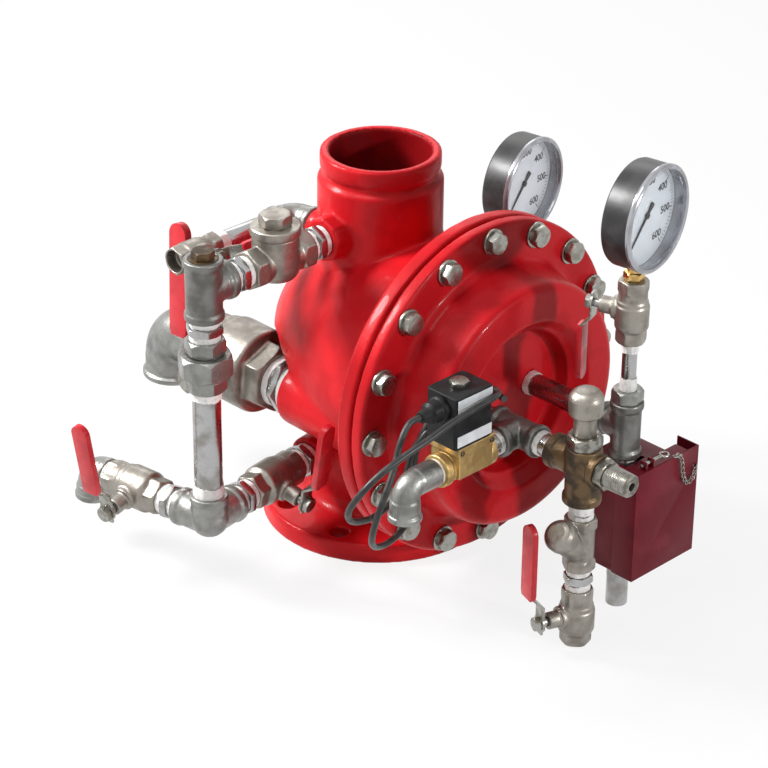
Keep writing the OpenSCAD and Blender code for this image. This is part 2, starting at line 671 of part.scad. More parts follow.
// Plain pipes: start and end faces of the fittings they join, direction and size
module pipe_between(from, to, s) {
    d = to - from;
    len = norm(d);
    az = atan2(d[1], d[0]);
    tilt = acos(d[2] / len);
    translate(from) rotate([0, tilt, az]) translate([0, 0, 1 - grip(s)])
        tube(pipe_r(s), bore_r(s), len + 2 * (grip(s) - 1));
}
gauge_tee_top = axis_z + reach(DN15);
bushing_h = 12;
module branch_pipes() {
    color("silver") {
        pipe_between([-alarm_x, alarm_boss_y, alarm_z], [-alarm_x, alarm_y - reach(DN15), alarm_z], DN15);
        pipe_between([-alarm_x - reach(DN15), alarm_y, alarm_z],
            [-alarm_x - reach(DN15) - alarm_run, alarm_y, alarm_z], DN15);
        pipe_between([-drain_x, drain_near + v_len(V40), drain_z],
            [-drain_x, drain_elbow_y - reach(DN40), drain_z], DN40);
        pipe_between([port_a_x, floor_y, axis_z], [port_a_x, -line_a_y + reach(DN15), axis_z], DN15);
        pipe_between([-port_b_x, floor_y, axis_z], [-port_b_x, -solenoid_y + reach(DN15), axis_z], DN15);
        pipe_between([-port_b_x, -solenoid_y - reach(DN15), axis_z],
            [-port_b_x, -latch_y + latch_reach, axis_z], DN15);
        pipe_between([-port_b_x - reach(DN15), -solenoid_y, axis_z],
            [sol_x + sol_half, -solenoid_y, axis_z], DN15);
        pipe_between([port_a_x, -line_a_y, gauge_tee_top + bushing_h],
            [port_a_x, -line_a_y, gauge_valve_low], DN8);
        pipe_between([rear_boss_x, -rear_line_y, rear_port_z],
            [rear_gauge_x - reach(DN15), -rear_line_y, rear_port_z], DN15);
        pipe_between([rear_gauge_x, -rear_line_y, rear_port_z + reach(DN15) + bushing_h],
            [rear_gauge_x, -rear_line_y, rear_valve_low], DN8);
        pipe_between([port_a_x, -line_a_y, release_z + v_len(VR) / 2],
            [port_a_x, -line_a_y, axis_z - reach(DN15)], DN15);
        pipe_between([latch[0], latch[1], strainer_z], [latch[0], latch[1], latch_low], DN15);
        outlet_pipe();
    }
}
// Pipe under the release valve, turned down at its open end
module outlet_pipe() {
    top = release_z - v_len(VR) / 2 + grip(DN15) - 1;
    turned_r = pipe_r(DN15) - 0.4;
    translate([port_a_x, -line_a_y, 0]) rotate_extrude() polygon([[bore_r(DN15), outlet_pipe_low],
        [turned_r, outlet_pipe_low], [turned_r, outlet_pipe_low + 30],
        [pipe_r(DN15), outlet_pipe_low + 30.5], [pipe_r(DN15), top], [bore_r(DN15), top]]);
}
latch_low = axis_z - 38;
latch_top = axis_z + 18;
latch_front = -latch_y - 22;

module riser_pipe() {
    color("silver") pipe_between([-riser_x, 0, low_z + elbow_up], [-riser_x, 0, union_z], DN20);
}
module side_outlet_elbow() {
    ends = [[[0, 0, 0], elbow_up], [[0, 90, low_turn], elbow_reach],
        [[0, 90, low_turn + 90], elbow_reach]];
    color("silver") translate(low_elbow) difference() {
        union() {
            sphere(r = shell_r(DN20) + 1.5);
            for (e = ends) rotate(e[0]) socket_shell(DN20, e[1]);
        }
        for (e = ends) rotate(e[0]) socket_bore(DN20, e[1]);
    }
}
module riser_tee() { color("silver") translate([-riser_x, 0, check_z]) tee(DN20); }
module tee_plug() {
    top = check_z + reach(DN20);
    color("darkgoldenrod") translate([-riser_x, 0, top]) {
        translate([0, 0, 1 - grip(DN20)]) cylinder(r = pipe_r(DN20), h = grip(DN20) - 1 + eps);
        hex_chamfered(19, 8, 20);
    }
}

// Pipe union: two ends that meet face to face, and the nut that draws them together
union_hex_h = 14;
union_collar = 14;
module union_ends() {
    color("silver") translate([-riser_x, 0, union_z]) {
        difference() {
            union() {
                hex_chamfered(34, union_hex_h, 10);
                translate([0, 0, union_hex_h - 1]) cylinder(r = 20, h = union_collar + 1);
            }
            translate([0, 0, -1]) cylinder(r = bore_r(DN20), h = union_h);
            translate([0, 0, -1]) cylinder(r = pipe_r(DN20) + thread_gap, h = grip(DN20) + 1);
        }
        difference() {
            union() {
                translate([0, 0, union_hex_h + union_collar]) cylinder(r = 19, h = 5);
                translate([0, 0, union_hex_h + union_collar]) cylinder(r = 16, h = 12);
                translate([0, 0, union_h - union_hex_h]) hex_chamfered(34, union_hex_h, 10);
            }
            cylinder(r = bore_r(DN20), h = union_h + 1);
            translate([0, 0, union_h - grip(DN20)])
                cylinder(r = pipe_r(DN20) + thread_gap, h = grip(DN20) + 1);
        }
    }
}
module union_nut() {
    shoulder = union_hex_h + union_collar + 5;
    color("silver") translate([-riser_x, 0, union_z]) difference() {
        translate([0, 0, union_hex_h + 1.5]) hex_chamfered(46, shoulder + 4 - union_hex_h - 1.5);
        cylinder(r = 20 + thread_gap, h = shoulder);
        cylinder(r = 16 + thread_gap, h = union_h);
    }
}

// Swing check valve between the riser and the outlet neck
check_bonnet_r = 22;
check_bonnet_h = 26;
check_seat_x = -14.8;
clap_x = -15.5;
clap_z = 16.5;
clap_r = 12;
module check_valve_body() {
    half = check_len / 2;
    cavity = 19.5;
    color("silver") translate([check_x, 0, check_z]) difference() {
        union() {
            rotate([0, 90, 0]) translate([0, 0, -half]) cylinder(r = check_r, h = check_len);
            for (e = [-half, half - 15]) translate([e, 0, 0]) rotate([0, 90, 0])
                hex_chamfered(35, 15, 0);
            rotate_extrude() polygon([[0, -19], [12, -19], [18.5, -16], [check_bonnet_r - 0.5, -11],
                [check_bonnet_r, -7], [check_bonnet_r, check_bonnet_h], [0, check_bonnet_h]]);
        }
        difference() {
            rotate_extrude() polygon([[0, -15.5], [13, -15.5], [17.5, -13], [cavity, -9],
                [cavity, check_bonnet_h + 1], [0, check_bonnet_h + 1]]);
            translate([check_seat_x - 8, 0, 0]) rotate([0, 90, 0]) cylinder(r = 13, h = 8);
        }
        translate([-half, 0, 0]) rotate([0, 90, 0]) translate([0, 0, -1])
            cylinder(r = bore_r(DN20), h = check_len + 2);
        translate([clap_x, -14, clap_z]) rotate([-90, 0, 0]) cylinder(r = 1.5 + run_gap, h = 28);
        for (end = [-1, 1]) translate([end * half, 0, 0]) rotate([0, -90 * end, 0])
            translate([0, 0, -1]) cylinder(r = pipe_r(DN20) + thread_gap, h = grip(DN20) + 1);
    }
}
module check_valve_cap() {
    color("silver") translate([check_x, 0, check_z + check_bonnet_h]) {
        rotate_extrude() polygon([[0, 0], [check_bonnet_r + 0.8, 0], [check_bonnet_r + 1.6, 1],
            [check_bonnet_r + 1.6, 8], [check_bonnet_r + 0.6, 9], [0, 9]]);
        translate([0, 0, 9 - eps]) hex_chamfered(27, 11, 12);
        translate([0, 0, -5]) cylinder(r = 19.5 - thread_gap, h = 5 + eps);
    }
}
module check_clapper() {
    color("goldenrod") translate([check_x, 0, check_z]) {
        translate([check_seat_x + run_gap, 0, 0]) rotate([0, 90, 0]) cylinder(r = clap_r, h = 2.5);
        translate([check_seat_x + run_gap, -3, 4]) cube([3.6, 6, clap_z - 4]);
        translate([clap_x, -3, clap_z]) rotate([-90, 0, 0]) cylinder(r = 2.8, h = 6);
        translate([clap_x, -13.5, clap_z]) rotate([-90, 0, 0]) cylinder(r = 1.5, h = 27);
    }
}

// Elbows: alarm line, supply gauge line, main drain, test outlet and solenoid outlet
// A bend with a socket along local +Z and a threaded end along local +X
module street_elbow(s, reach, to_face) {
    r = shell_r(s) * 0.94;
    bend = r + 0.6;
    difference() {
        union() {
            quarter_bend(bend, r - 0.5);
            translate([0, 0, bend - 0.5]) leg_shell(s, reach - bend + 0.5);
            translate([bend - 0.5, 0, 0]) rotate([0, 90, 0]) cylinder(r = r, h = to_face - bend - 2);
            translate([bend, 0, 0]) rotate([0, 90, 0])
                cylinder(r = pipe_r(s), h = to_face - bend + grip(s) - 1);
        }
        socket_bore(s, reach, bend * 0.25);
        translate([bend * 0.25, 0, 0]) rotate([0, 90, 0]) cylinder(r = bore_r(s), h = 3 * to_face);
    }
}
module pipe_elbows() {
    color("silver") {
        translate([-alarm_x, alarm_y, alarm_z]) rotate([90, 180, 0]) elbow(DN15, reach(DN15));
        translate([rear_gauge_x, -rear_line_y, rear_port_z]) rotate([0, 0, 180]) elbow(DN15, reach(DN15));
        translate([-drain_x, drain_elbow_y, drain_z]) rotate([180, 0, -90]) elbow(DN40, reach(DN40));
        translate(test(test_elbow_s)) rotate([180, 0, low_turn + 270])
            street_elbow(DN20, 30, test_elbow_s - test_far);
        translate([street_x, -solenoid_y, axis_z]) rotate([180, 0, 0])
            street_elbow(DN15, 33, street_reach);
    }
}
module ball_valve_bodies() {
    color("silver") {
        at_valve(supply_at) ball_valve_body(V20);
        at_valve(test_at) ball_valve_body(V20);
        at_valve(alarm_at) ball_valve_body(VA);
        at_valve(strainer_at) ball_valve_body(V15);
        at_valve(gauge_at) ball_valve_body(VG);
        at_valve(rear_gauge_at) ball_valve_body(VG);
        at_valve(release_at) ball_valve_body(VR);
    }
}
module drain_valve_body() { color("silver") at_valve(drain_at) ball_valve_body(V40); }
module steel_ball(at, v) { color("gainsboro") at_lever(at) ball_and_stem(v); }
module red_lever(at, v) { color("red") at_lever(at) lever(v); }

module tees() {
    color("silver") {
        translate([port_a_x, -line_a_y, axis_z]) rotate([0, 0, 90]) tee(DN15);
        translate([-port_b_x, -solenoid_y, axis_z]) rotate([90, 0, 180]) tee(DN15);
    }
}
module bushing() {
    difference() {
        union() {
            translate([0, 0, 1 - grip(DN15)]) cylinder(r = pipe_r(DN15), h = grip(DN15));
            hex_chamfered(26, bushing_h, 15);
        }
        translate([0, 0, -grip(DN15)]) cylinder(r = bore_r(DN8), h = 2 * grip(DN15) + bushing_h);
        translate([0, 0, bushing_h - grip(DN8)]) cylinder(r = pipe_r(DN8) + thread_gap, h = grip(DN8) + 1);
    }
}
module bushings() {
    color("silver") {
        translate([port_a_x, -line_a_y, gauge_tee_top]) bushing();
        translate([rear_gauge_x, -rear_line_y, rear_port_z + reach(DN15)]) bushing();
    }
}

// Gauges: each piece is drawn for a gauge whose back lies on local Z = 0, facing +Z
gauge_back = 8;
dial_z = 15;
window_z = 25;
gauge_places = [[[port_a_x, -line_a_y, gauge_z], gauge_turn],
    [[rear_gauge_x, -rear_line_y, rear_gauge_z], gauge_turn]];
module at_gauge(g) {
    translate(g[0]) rotate([0, 0, g[1]]) translate([0, gauge_back, 0]) rotate([90, 0, 0]) children();
}
module gauge_case() {
    r = gauge_d / 2;
    difference() {
        rotate_extrude() polygon([[0, 0], [r - 3, 0], [r - 0.8, 1], [r, 3], [r, gauge_t - 5],
            [r + 0.8, gauge_t - 4.5], [r + 0.8, gauge_t - 1.5], [r - 1, gauge_t], [r - 3.5, gauge_t - 0.5],
            [r - 4, gauge_t - 3], [r - 4, window_z + 2.3], [r - 2.5, window_z + 2.3],
            [r - 2.5, dial_z], [r - 4.5, dial_z], [r - 4.5, 2], [0, 2]]);
        translate([0, 0, gauge_back]) rotate([90, 0, 0])
            cylinder(r = pipe_r(DN8) - 0.5 + thread_gap, h = gauge_d);
    }
}
module gauge_cases() { color("dimgray") for (g = gauge_places) at_gauge(g) gauge_case(); }
module gauge_dials() {
    color("white") for (g = gauge_places) at_gauge(g) translate([0, 0, dial_z])
        tube(gauge_d / 2 - 2.8, 1.4, 1);
}
module gauge_windows() {
    color("aliceblue", 0.3) for (g = gauge_places) at_gauge(g) translate([0, 0, window_z])
        cylinder(r = gauge_d / 2 - 2.8, h = 2);
}
module gauge_sockets() {
    color("goldenrod") for (g = gauge_places) translate(g[0] - [0, 0, gauge_d / 2 + socket_h])
        difference() {
            union() {
                translate([0, 0, 1 - grip(DN8)]) cylinder(r = pipe_r(DN8), h = grip(DN8));
                hex_chamfered(17, 8, 10);
                cylinder(r = pipe_r(DN8) - 0.5, h = socket_h + 9);
            }
            translate([0, 0, -grip(DN8)]) cylinder(r = 2, h = grip(DN8) + socket_h + 4);
        }
}
module pointer(g) {
    start = 225;
    color("black") at_gauge(g) rotate([0, 0, start]) {
        translate([0, 0, dial_z - 7]) cylinder(r = 1.1, h = 8 + 3, $fn = 32);
        translate([0, 0, dial_z + 1.6]) {
            cylinder(r = 3, h = 1.6);
            linear_extrude(1) polygon([[-13, -2.2], [-11, -2.6], [-3, -1.3], [36, -0.4], [36, 0.4],
                [-3, 1.3], [-11, 2.6], [-13, 2.2]]);
        }
    }
}

// Sheet metal release box, its door, and the pin and chain that hold the door shut
door_gap = run_gap + box_t;
hinge_y = box_front + 14;
hinge_z = box_z + 8;
slot_w = 2 * pipe_r(DN15) + 5;
pin_y = box_front + door_gap + 3.7;
pin_z = box_top + 4.5;
pin_ears = [box_left + 14, box_left + 24];
lip_right = box_left + box_w - 14.5;
wall_right = lip_right - 15;
step_y = box_front + 16;
chain_hole = [box_left + box_w - 5, box_top - 20];
chain_hole_r = 2.6;
module release_box() {
    left = box_left + door_gap;
    front = box_front + door_gap;
    floor_front = box_front + 18;
    color("maroon") difference() {
        union() {
            translate([left, box_back - box_t, box_z]) cube([wall_right - left, box_t, box_h]);
            translate([left, front, box_z]) cube([box_t, box_back - front, box_h]);
            // The right-hand side steps outwards near the front
            translate([wall_right - box_t, step_y, box_z]) cube([box_t, box_back - step_y, box_h]);
            translate([wall_right - box_t, step_y - box_t, box_z]) cube([16.5, box_t, box_h]);
            translate([lip_right - box_t, front, box_z]) cube([box_t, step_y - front, box_h]);
            translate([left, front, box_top - box_t]) cube([lip_right - left, step_y - front, box_t]);
            translate([left, front, box_top - box_t]) cube([wall_right - left, box_back - front, box_t]);
            translate([left, floor_front, box_z]) cube([wall_right - left, box_back - floor_front, box_t]);
            // Ears that carry the lock pin
            for (x = pin_ears) translate([x, front, box_top - 1]) cube([box_t, 7.4, 9]);
        }
        // Lower front corners taken off so that the door's foot swings past them
        translate([left - 1, 0, 0]) rotate([90, 0, 90]) linear_extrude(lip_right - left + 2)
            polygon([[front - 1, box_z - 1], [front + 3.8, box_z - 1], [front - 1, hinge_z + 2.3]]);
        // Slot for the pipe through the top, and its close hole in the floor
        translate([port_a_x, -line_a_y, box_top - 3]) pipe_slot(14);
        translate([port_a_x, -line_a_y, box_z - 1]) cylinder(r = pipe_r(DN15) + thread_gap, h = 6);
        // Hinge screw holes and the pin's holes
        translate([left - 1, hinge_y, hinge_z]) rotate([0, 90, 0])
            cylinder(r = 2 + run_gap / 2, h = lip_right - left + 2);
        translate([pin_ears[0] - 1, pin_y, pin_z]) rotate([0, 90, 0])
            cylinder(r = pin_r + 0.15, h = pin_ears[1] - pin_ears[0] + 4);
    }
}
module pipe_slot(forward) {
    linear_extrude(6) {
        circle(d = slot_w);
        translate([-slot_w / 2, -forward]) square([slot_w, forward]);
    }
}
module box_door() {
    flange = 25;
    left_pin = door_gap + box_t + 2;
    right_pin = box_left + box_w - lip_right + box_t + 2;
    color("maroon") difference() {
        union() {
            translate([box_left, box_front, box_z]) cube([box_w, box_t, box_h]);
            for (x = [box_left, box_left + box_w - box_t]) translate([x, box_front, box_z])
                cube([box_t, flange, box_h]);
            // Hinge pins inside the flanges
            translate([box_left, hinge_y, hinge_z]) rotate([0, 90, 0]) cylinder(r = 2, h = left_pin);
            translate([box_left + box_w, hinge_y, hinge_z]) rotate([0, -90, 0])
                cylinder(r = 2, h = right_pin);
        }
        // Hole that the chain's last link passes through
        along_y([chain_hole[0], box_front + 3, chain_hole[1]]) cylinder(r = chain_hole_r, h = 5);
    }
}
module lock_pin() {
    reach_x = pin_ears[1] + box_t + 14;
    color("silver") {
        translate([pin_ears[0] - 3, pin_y, pin_z]) rotate([0, 90, 0])
            cylinder(r = pin_r, h = reach_x - pin_ears[0] + 3, $fn = 32);
        translate([reach_x + loop_r - 0.5, pin_y, pin_z]) rotate_extrude() translate([loop_r, 0])
            circle(r = 1.1, $fn = 16);
    }
}
// Chain in front of the door, from the pin's loop to its hole: hand-placed points measured
// from the hole, one link at each
loop_r = 4;
chain_pts = [
    [-32.1, -3, 23.8], [-29.25, -3.1, 23.69], [-26.6, -3.2, 22.66], [-24.53, -3.2, 20.71],
    [-23.14, -3.2, 18.22], [-22.33, -3.2, 15.49], [-21.77, -3.2, 12.68], [-21.34, -3.2, 9.86],
    [-20.96, -3.2, 7.03], [-20.45, -3.2, 4.21], [-19.84, -3.2, 1.42], [-19.04, -3.2, -1.32],
    [-18.07, -3.2, -4.01], [-16.89, -3.2, -6.62], [-15.35, -3.2, -9.02], [-13.34, -3.2, -11.04],
    [-10.69, -3.2, -12], [-8.01, -3.2, -11.14], [-5.88, -3.22, -9.25], [-4.07, -3.17, -7.04],
    [-2.48, -2.95, -4.68], [-1.08, -2.15, -2.33], [0, -0.9, 0],
];
module lock_chain() {
    color("silver") for (i = [0:len(chain_pts) - 1]) {
        d = heading(chain_pts, i);
        translate([chain_hole[0], box_front, chain_hole[1]] + chain_pts[i])
            rotate([90 * (i % 2), 0, 0]) rotate([0, -asin(d[2]) * (1 - i % 2), 0])
            rotate_extrude() translate([2.1, 0]) circle(r = 0.45, $fn = 13);
    }
}

// Solenoid valve
module solenoid_body() {
    color("goldenrod") translate([sol_x, -solenoid_y, axis_z]) difference() {
        union() {
            rotate([0, 90, 0]) translate([0, 0, -sol_half]) cylinder(r = 14, h = sol_len);
            for (e = [-sol_half, sol_half - 9]) translate([e, 0, 0]) rotate([0, 90, 0])
                rotate_extrude() polygon([[0, 0], [14.8, 0], [15.8, 1], [15.8, 8], [14.8, 9], [0, 9]]);
            translate([-21, -18, -6]) cube([42, 36, 25]);
            translate([-23, -19, 17]) cube([46, 38, coil[2] - axis_z - 17]);
        }
        rotate([0, 90, 0]) translate([0, 0, -sol_half - 1]) cylinder(r = 6.5, h = sol_len + 2);
        for (end = [-1, 1]) translate([end * sol_half, 0, 0]) rotate([0, -90 * end, 0])
            translate([0, 0, -1]) cylinder(r = pipe_r(DN15) + thread_gap, h = grip(DN15) + 1);
        translate([coil[0] - sol_x, 0, 3]) cylinder(r = 6.5 + thread_gap, h = 60);
    }
}
module solenoid_coil() {
    round_r = 4;
    color("dimgray") difference() {
        translate(coil) union() {
            translate([-coil_w / 2, -coil_d / 2 + round_r, 0])
                cube([coil_w, coil_d - 2 * round_r, coil_h]);
            translate([-coil_w / 2 + round_r, -coil_d / 2, 0])
                cube([coil_w - 2 * round_r, coil_d, coil_h]);
            for (x = [-1, 1], y = [-1, 1])
                translate([x * (coil_w / 2 - round_r), y * (coil_d / 2 - round_r), 0])
                cylinder(r = round_r, h = coil_h, $fn = 32);
        }
        translate([coil[0], -solenoid_y, coil[2] - 1]) cylinder(r = 6.5 + thread_gap, h = coil_h + 2);
    }
}
module solenoid_stem() {
    color("silver") translate([coil[0], -solenoid_y, 0]) {
        translate([0, 0, axis_z + 6]) cylinder(r = 6.5, h = coil[2] + coil_h - axis_z - 6 + eps);
        translate([0, 0, coil[2] + coil_h]) hex_chamfered(16, 5, 10);
    }
}
module solenoid_gland() {
    color("dimgray") translate([coil[0] - coil_w / 2, coil[1], gland_z]) rotate([0, -90, 0]) difference() {
        rotate_extrude() polygon([[0, 0], [12, 0], [12, 5], [10.5, 6], [10, 15], [7, 17.5],
            [5.2, gland_len], [0, gland_len]]);
        translate([0, 0, gland_len - 4]) cylinder(r = cord_r + 0.05, h = 6);
    }
}
module solenoid_cord() {
    color("dimgray") sweep(smooth_path(cord_pts, 2), cord_r, 8, [0, 0, 1]);
}

// Latching valve: bronze cross, steel bonnet and nipple, and the pull knob
module latch_cross() {
    color("darkgoldenrod") translate(latch) difference() {
        union() {
            rotate_extrude() polygon([[0, -38], [17, -38], [18, -37], [18, -31], [16.2, -29],
                [16.2, -12], [17.5, -6], [17.5, 10], [16.5, 17], [15.5, 18], [0, 18]]);
            rotate([90, 0, 0]) translate([0, 0, -latch_reach]) cylinder(r = 14.6, h = latch_reach + 20);
            rotate([90, 0, 0]) translate([0, 0, -latch_reach]) cylinder(r = 16.4, h = 8);
            rotate([90, 0, 0]) translate([0, 0, 15]) cylinder(r = 15.8, h = 7);
        }
        translate([0, 0, -40]) cylinder(r = bore_r(DN15), h = 40);
        translate([0, 0, -12]) cylinder(r = shaft_r + 0.5, h = 40);
        translate([0, 0, 8]) cylinder(r = 12.5 + thread_gap, h = 20);
        translate([0, 0, -39]) cylinder(r = pipe_r(DN15) + thread_gap, h = grip(DN15) + 1);
        rotate([90, 0, 0]) translate([0, 0, -latch_reach - 1]) cylinder(r = bore_r(DN15), h = 70);
        rotate([90, 0, 0]) translate([0, 0, -latch_reach - 1])
            cylinder(r = pipe_r(DN15) + thread_gap, h = grip(DN15) + 1);
        rotate([90, 0, 0]) translate([0, 0, 22 - 9]) cylinder(r = pipe_r(DN15) + thread_gap, h = 12);
    }
}
nipple_out = 35;
shaft_r = 10.3;
latch_hex_h = 12;
module latch_fittings() {
    color("silver") {
        translate([latch[0], latch[1], latch_top]) difference() {
            union() {
                hex_chamfered(29, latch_hex_h, 12);
                translate([0, 0, -9]) cylinder(r = 12.5, h = 9 + eps);
            }
            translate([0, 0, -10]) cylinder(r = shaft_r + run_gap, h = 30);
        }
        along_y([latch[0], latch_front, latch[2]]) difference() {
            union() {
                translate([0, 0, -8]) cylinder(r = pipe_r(DN15), h = 9);
                hex_chamfered(26, 9, 10);
                rotate_extrude() polygon([[0, 0], [pipe_r(DN15), 0], [pipe_r(DN15), nipple_out - 1.5],
                    [pipe_r(DN15) - 1.5, nipple_out], [0, nipple_out]]);
            }
            translate([0, 0, -10]) cylinder(r = 4, h = nipple_out + 12);
        }
    }
}
knob_travel = 9;
module latch_knob() {
    knob_low = latch_top + latch_hex_h + knob_travel + 11;
    knob_r = 15.8;
    color("silver") translate([latch[0], latch[1], 0]) {
        translate([0, 0, axis_z + 4]) cylinder(r = shaft_r, h = knob_low - axis_z - 4 + eps);
        translate([0, 0, knob_low]) rotate_extrude() polygon([[0, 0], [knob_r - 2, 0], [knob_r - 0.5, 1.5],
            [knob_r, 13], for (a = [0:15:75]) [knob_r - 11 + 11 * cos(a), 14.5 + 11 * sin(a)], [0, 25.5]]);
    }
}

// Wye strainer with its screen in the slanting leg
leg_len = 46;
leg_at = [-port_b_x, -latch_y, strainer_z - strainer_len / 2 - 10];
module on_leg() { translate(leg_at) rotate([0, -45, 0]) children(); }
module strainer_body() {
    color("silver") difference() {
        union() {
            translate([leg_at[0], leg_at[1], strainer_z - strainer_len]) {
                cylinder(r = 13.6, h = strainer_len);
                hex_chamfered(27, 12, 0);
                translate([0, 0, strainer_len - 12]) hex_chamfered(27, 12, 0);
            }
            on_leg() cylinder(r = 13.2, h = leg_len - 4);
            on_leg() rotate_extrude() polygon([[0, leg_len - 15], [14.2, leg_len - 15],
                [15, leg_len - 14], [15, leg_len - 6], [13, leg_len - 2], [9, leg_len], [0, leg_len]]);
        }
        translate([leg_at[0], leg_at[1], strainer_z - strainer_len - 1])
            cylinder(r = bore_r(DN15), h = strainer_len + 2);
        for (z = [strainer_z - strainer_len - 1, strainer_z - grip(DN15)])
            translate([leg_at[0], leg_at[1], z])
                cylinder(r = pipe_r(DN15) + thread_gap, h = grip(DN15) + 1);
        on_leg() cylinder(r = 9.5, h = leg_len - 3);
    }
}
module strainer_screen() {
    color("gainsboro") on_leg() translate([0, 0, 12]) tube(9.2, 8.7, leg_len - 15 - thread_gap);
}

valve_body();
seat_ring();
diaphragm();
seal_plate();
closing_spring();
cover();
cover_bolts();
cover_washers();
hex_nipples();
side_outlet_elbow();
riser_pipe();
union_ends();
union_nut();
riser_tee();
tee_plug();
check_valve_body();
check_valve_cap();
check_clapper();
drain_valve_body();
pipe_elbows();
ball_valve_bodies();
steel_ball(drain_at, V40);  // drain_valve_ball
red_lever(drain_at, V40);  // drain_lever
steel_ball(supply_at, V20);  // supply_valve_ball
red_lever(supply_at, V20);  // supply_lever
steel_ball(test_at, V20);  // test_valve_ball
red_lever(test_at, V20);  // test_lever
steel_ball(alarm_at, VA);  // alarm_valve_ball
red_lever(alarm_at, VA);  // alarm_lever
steel_ball(strainer_at, V15);  // strainer_valve_ball
red_lever(strainer_at, V15);  // strainer_lever
steel_ball(gauge_at, VG);  // gauge_valve_ball
red_lever(gauge_at, VG);  // gauge_lever
steel_ball(rear_gauge_at, VG);  // rear_gauge_valve_ball
red_lever(rear_gauge_at, VG);  // rear_gauge_lever
steel_ball(release_at, VR);  // release_valve_ball
red_lever(release_at, VR);  // release_lever
branch_pipes();
tees();
bushings();
gauge_cases();
gauge_sockets();
gauge_dials();
gauge_windows();
pointer(gauge_places[0]);  // front_pointer
pointer(gauge_places[1]);  // rear_pointer
release_box();
box_door();
lock_pin();
lock_chain();
solenoid_body();
solenoid_coil();
solenoid_stem();
solenoid_gland();
solenoid_cord();
latch_cross();
latch_fittings();
latch_knob();
strainer_body();
strainer_screen();
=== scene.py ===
# Looks of the deluge valve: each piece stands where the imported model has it, in metres.
import json
import math

import bpy
from mathutils import Matrix, Vector


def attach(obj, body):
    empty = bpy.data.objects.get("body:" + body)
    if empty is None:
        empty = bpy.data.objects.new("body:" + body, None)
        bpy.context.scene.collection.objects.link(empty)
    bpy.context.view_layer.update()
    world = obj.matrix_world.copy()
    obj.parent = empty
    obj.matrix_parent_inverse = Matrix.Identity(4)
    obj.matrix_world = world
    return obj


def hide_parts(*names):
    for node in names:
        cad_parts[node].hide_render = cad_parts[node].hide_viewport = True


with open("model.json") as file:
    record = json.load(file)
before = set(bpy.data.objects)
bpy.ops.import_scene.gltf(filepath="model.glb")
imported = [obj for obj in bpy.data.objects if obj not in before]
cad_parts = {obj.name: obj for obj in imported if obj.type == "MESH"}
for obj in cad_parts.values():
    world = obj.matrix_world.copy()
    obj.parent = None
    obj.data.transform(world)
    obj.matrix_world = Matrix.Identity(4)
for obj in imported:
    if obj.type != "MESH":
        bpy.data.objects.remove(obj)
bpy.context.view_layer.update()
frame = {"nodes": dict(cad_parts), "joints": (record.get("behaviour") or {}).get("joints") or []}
nodes = frame["nodes"]

# Viewpoint, floor and lamps. The valve is seen from its front left corner, a little from
# above, through a long lens. It stands on a plain white studio floor, with soft boxes round it.
camera_data = bpy.data.cameras.new("camera")
camera = bpy.data.objects.new("camera", camera_data)
bpy.context.collection.objects.link(camera)
camera_data.sensor_width = 36
camera_data.lens = 131.2
camera_data.shift_x = 0.0064
camera_data.shift_y = -0.0123
camera_at = Vector((-1.6729, -1.7106, 1.4319))
camera_aim = Vector((0, 0, 0.1452))
camera_roll = math.radians(0.45)
forward = (camera_aim - camera_at).normalized()
right = forward.cross(Vector((0, 0, 1))).normalized()
up = right.cross(forward)
level = (right, up)
right = math.cos(camera_roll) * level[0] + math.sin(camera_roll) * level[1]
up = math.cos(camera_roll) * level[1] - math.sin(camera_roll) * level[0]
camera.matrix_world = Matrix.Translation(camera_at) @ Matrix((right, up, -forward)).transposed().to_4x4()
bpy.context.scene.camera = camera
bpy.context.scene.view_settings.view_transform = "Standard"

bpy.ops.mesh.primitive_plane_add(size=16, location=(0, 0, 0))
floor = bpy.context.object
floor.name = "studio_floor"
floor_white = bpy.data.materials.new("studio_white")
floor_white.use_nodes = True
tree = floor_white.node_tree
tree.nodes.clear()
out = tree.nodes.new("ShaderNodeOutputMaterial")
mix = tree.nodes.new("ShaderNodeMixShader")
matt = tree.nodes.new("ShaderNodeBsdfDiffuse")
matt.inputs["Color"].default_value = (0.86, 0.86, 0.86, 1)
# Share of the floor that shows plain white; the rest is lit and holds the shadows
white_share = 0.86
glow = tree.nodes.new("ShaderNodeEmission")
glow.inputs["Color"].default_value = (1, 1, 1, 1)


def seen_rays(tree):
    """One where a camera, glossy or transmission ray meets the backdrop, so that it shows white."""
    path = tree.nodes.new("ShaderNodeLightPath")
    first = tree.nodes.new("ShaderNodeMath")
    first.operation = "MAXIMUM"
    tree.links.new(path.outputs["Is Camera Ray"], first.inputs[0])
    tree.links.new(path.outputs["Is Glossy Ray"], first.inputs[1])
    second = tree.nodes.new("ShaderNodeMath")
    second.operation = "MAXIMUM"
    tree.links.new(first.outputs[0], second.inputs[0])
    tree.links.new(path.outputs["Is Transmission Ray"], second.inputs[1])
    return second.outputs[0]


share = tree.nodes.new("ShaderNodeMath")
share.operation = "MULTIPLY"
share.inputs[1].default_value = white_share
tree.links.new(seen_rays(tree), share.inputs[0])
tree.links.new(share.outputs[0], mix.inputs["Fac"])
tree.links.new(matt.outputs["BSDF"], mix.inputs[1])
tree.links.new(glow.outputs["Emission"], mix.inputs[2])
tree.links.new(mix.outputs["Shader"], out.inputs["Surface"])
floor.data.materials.append(floor_white)

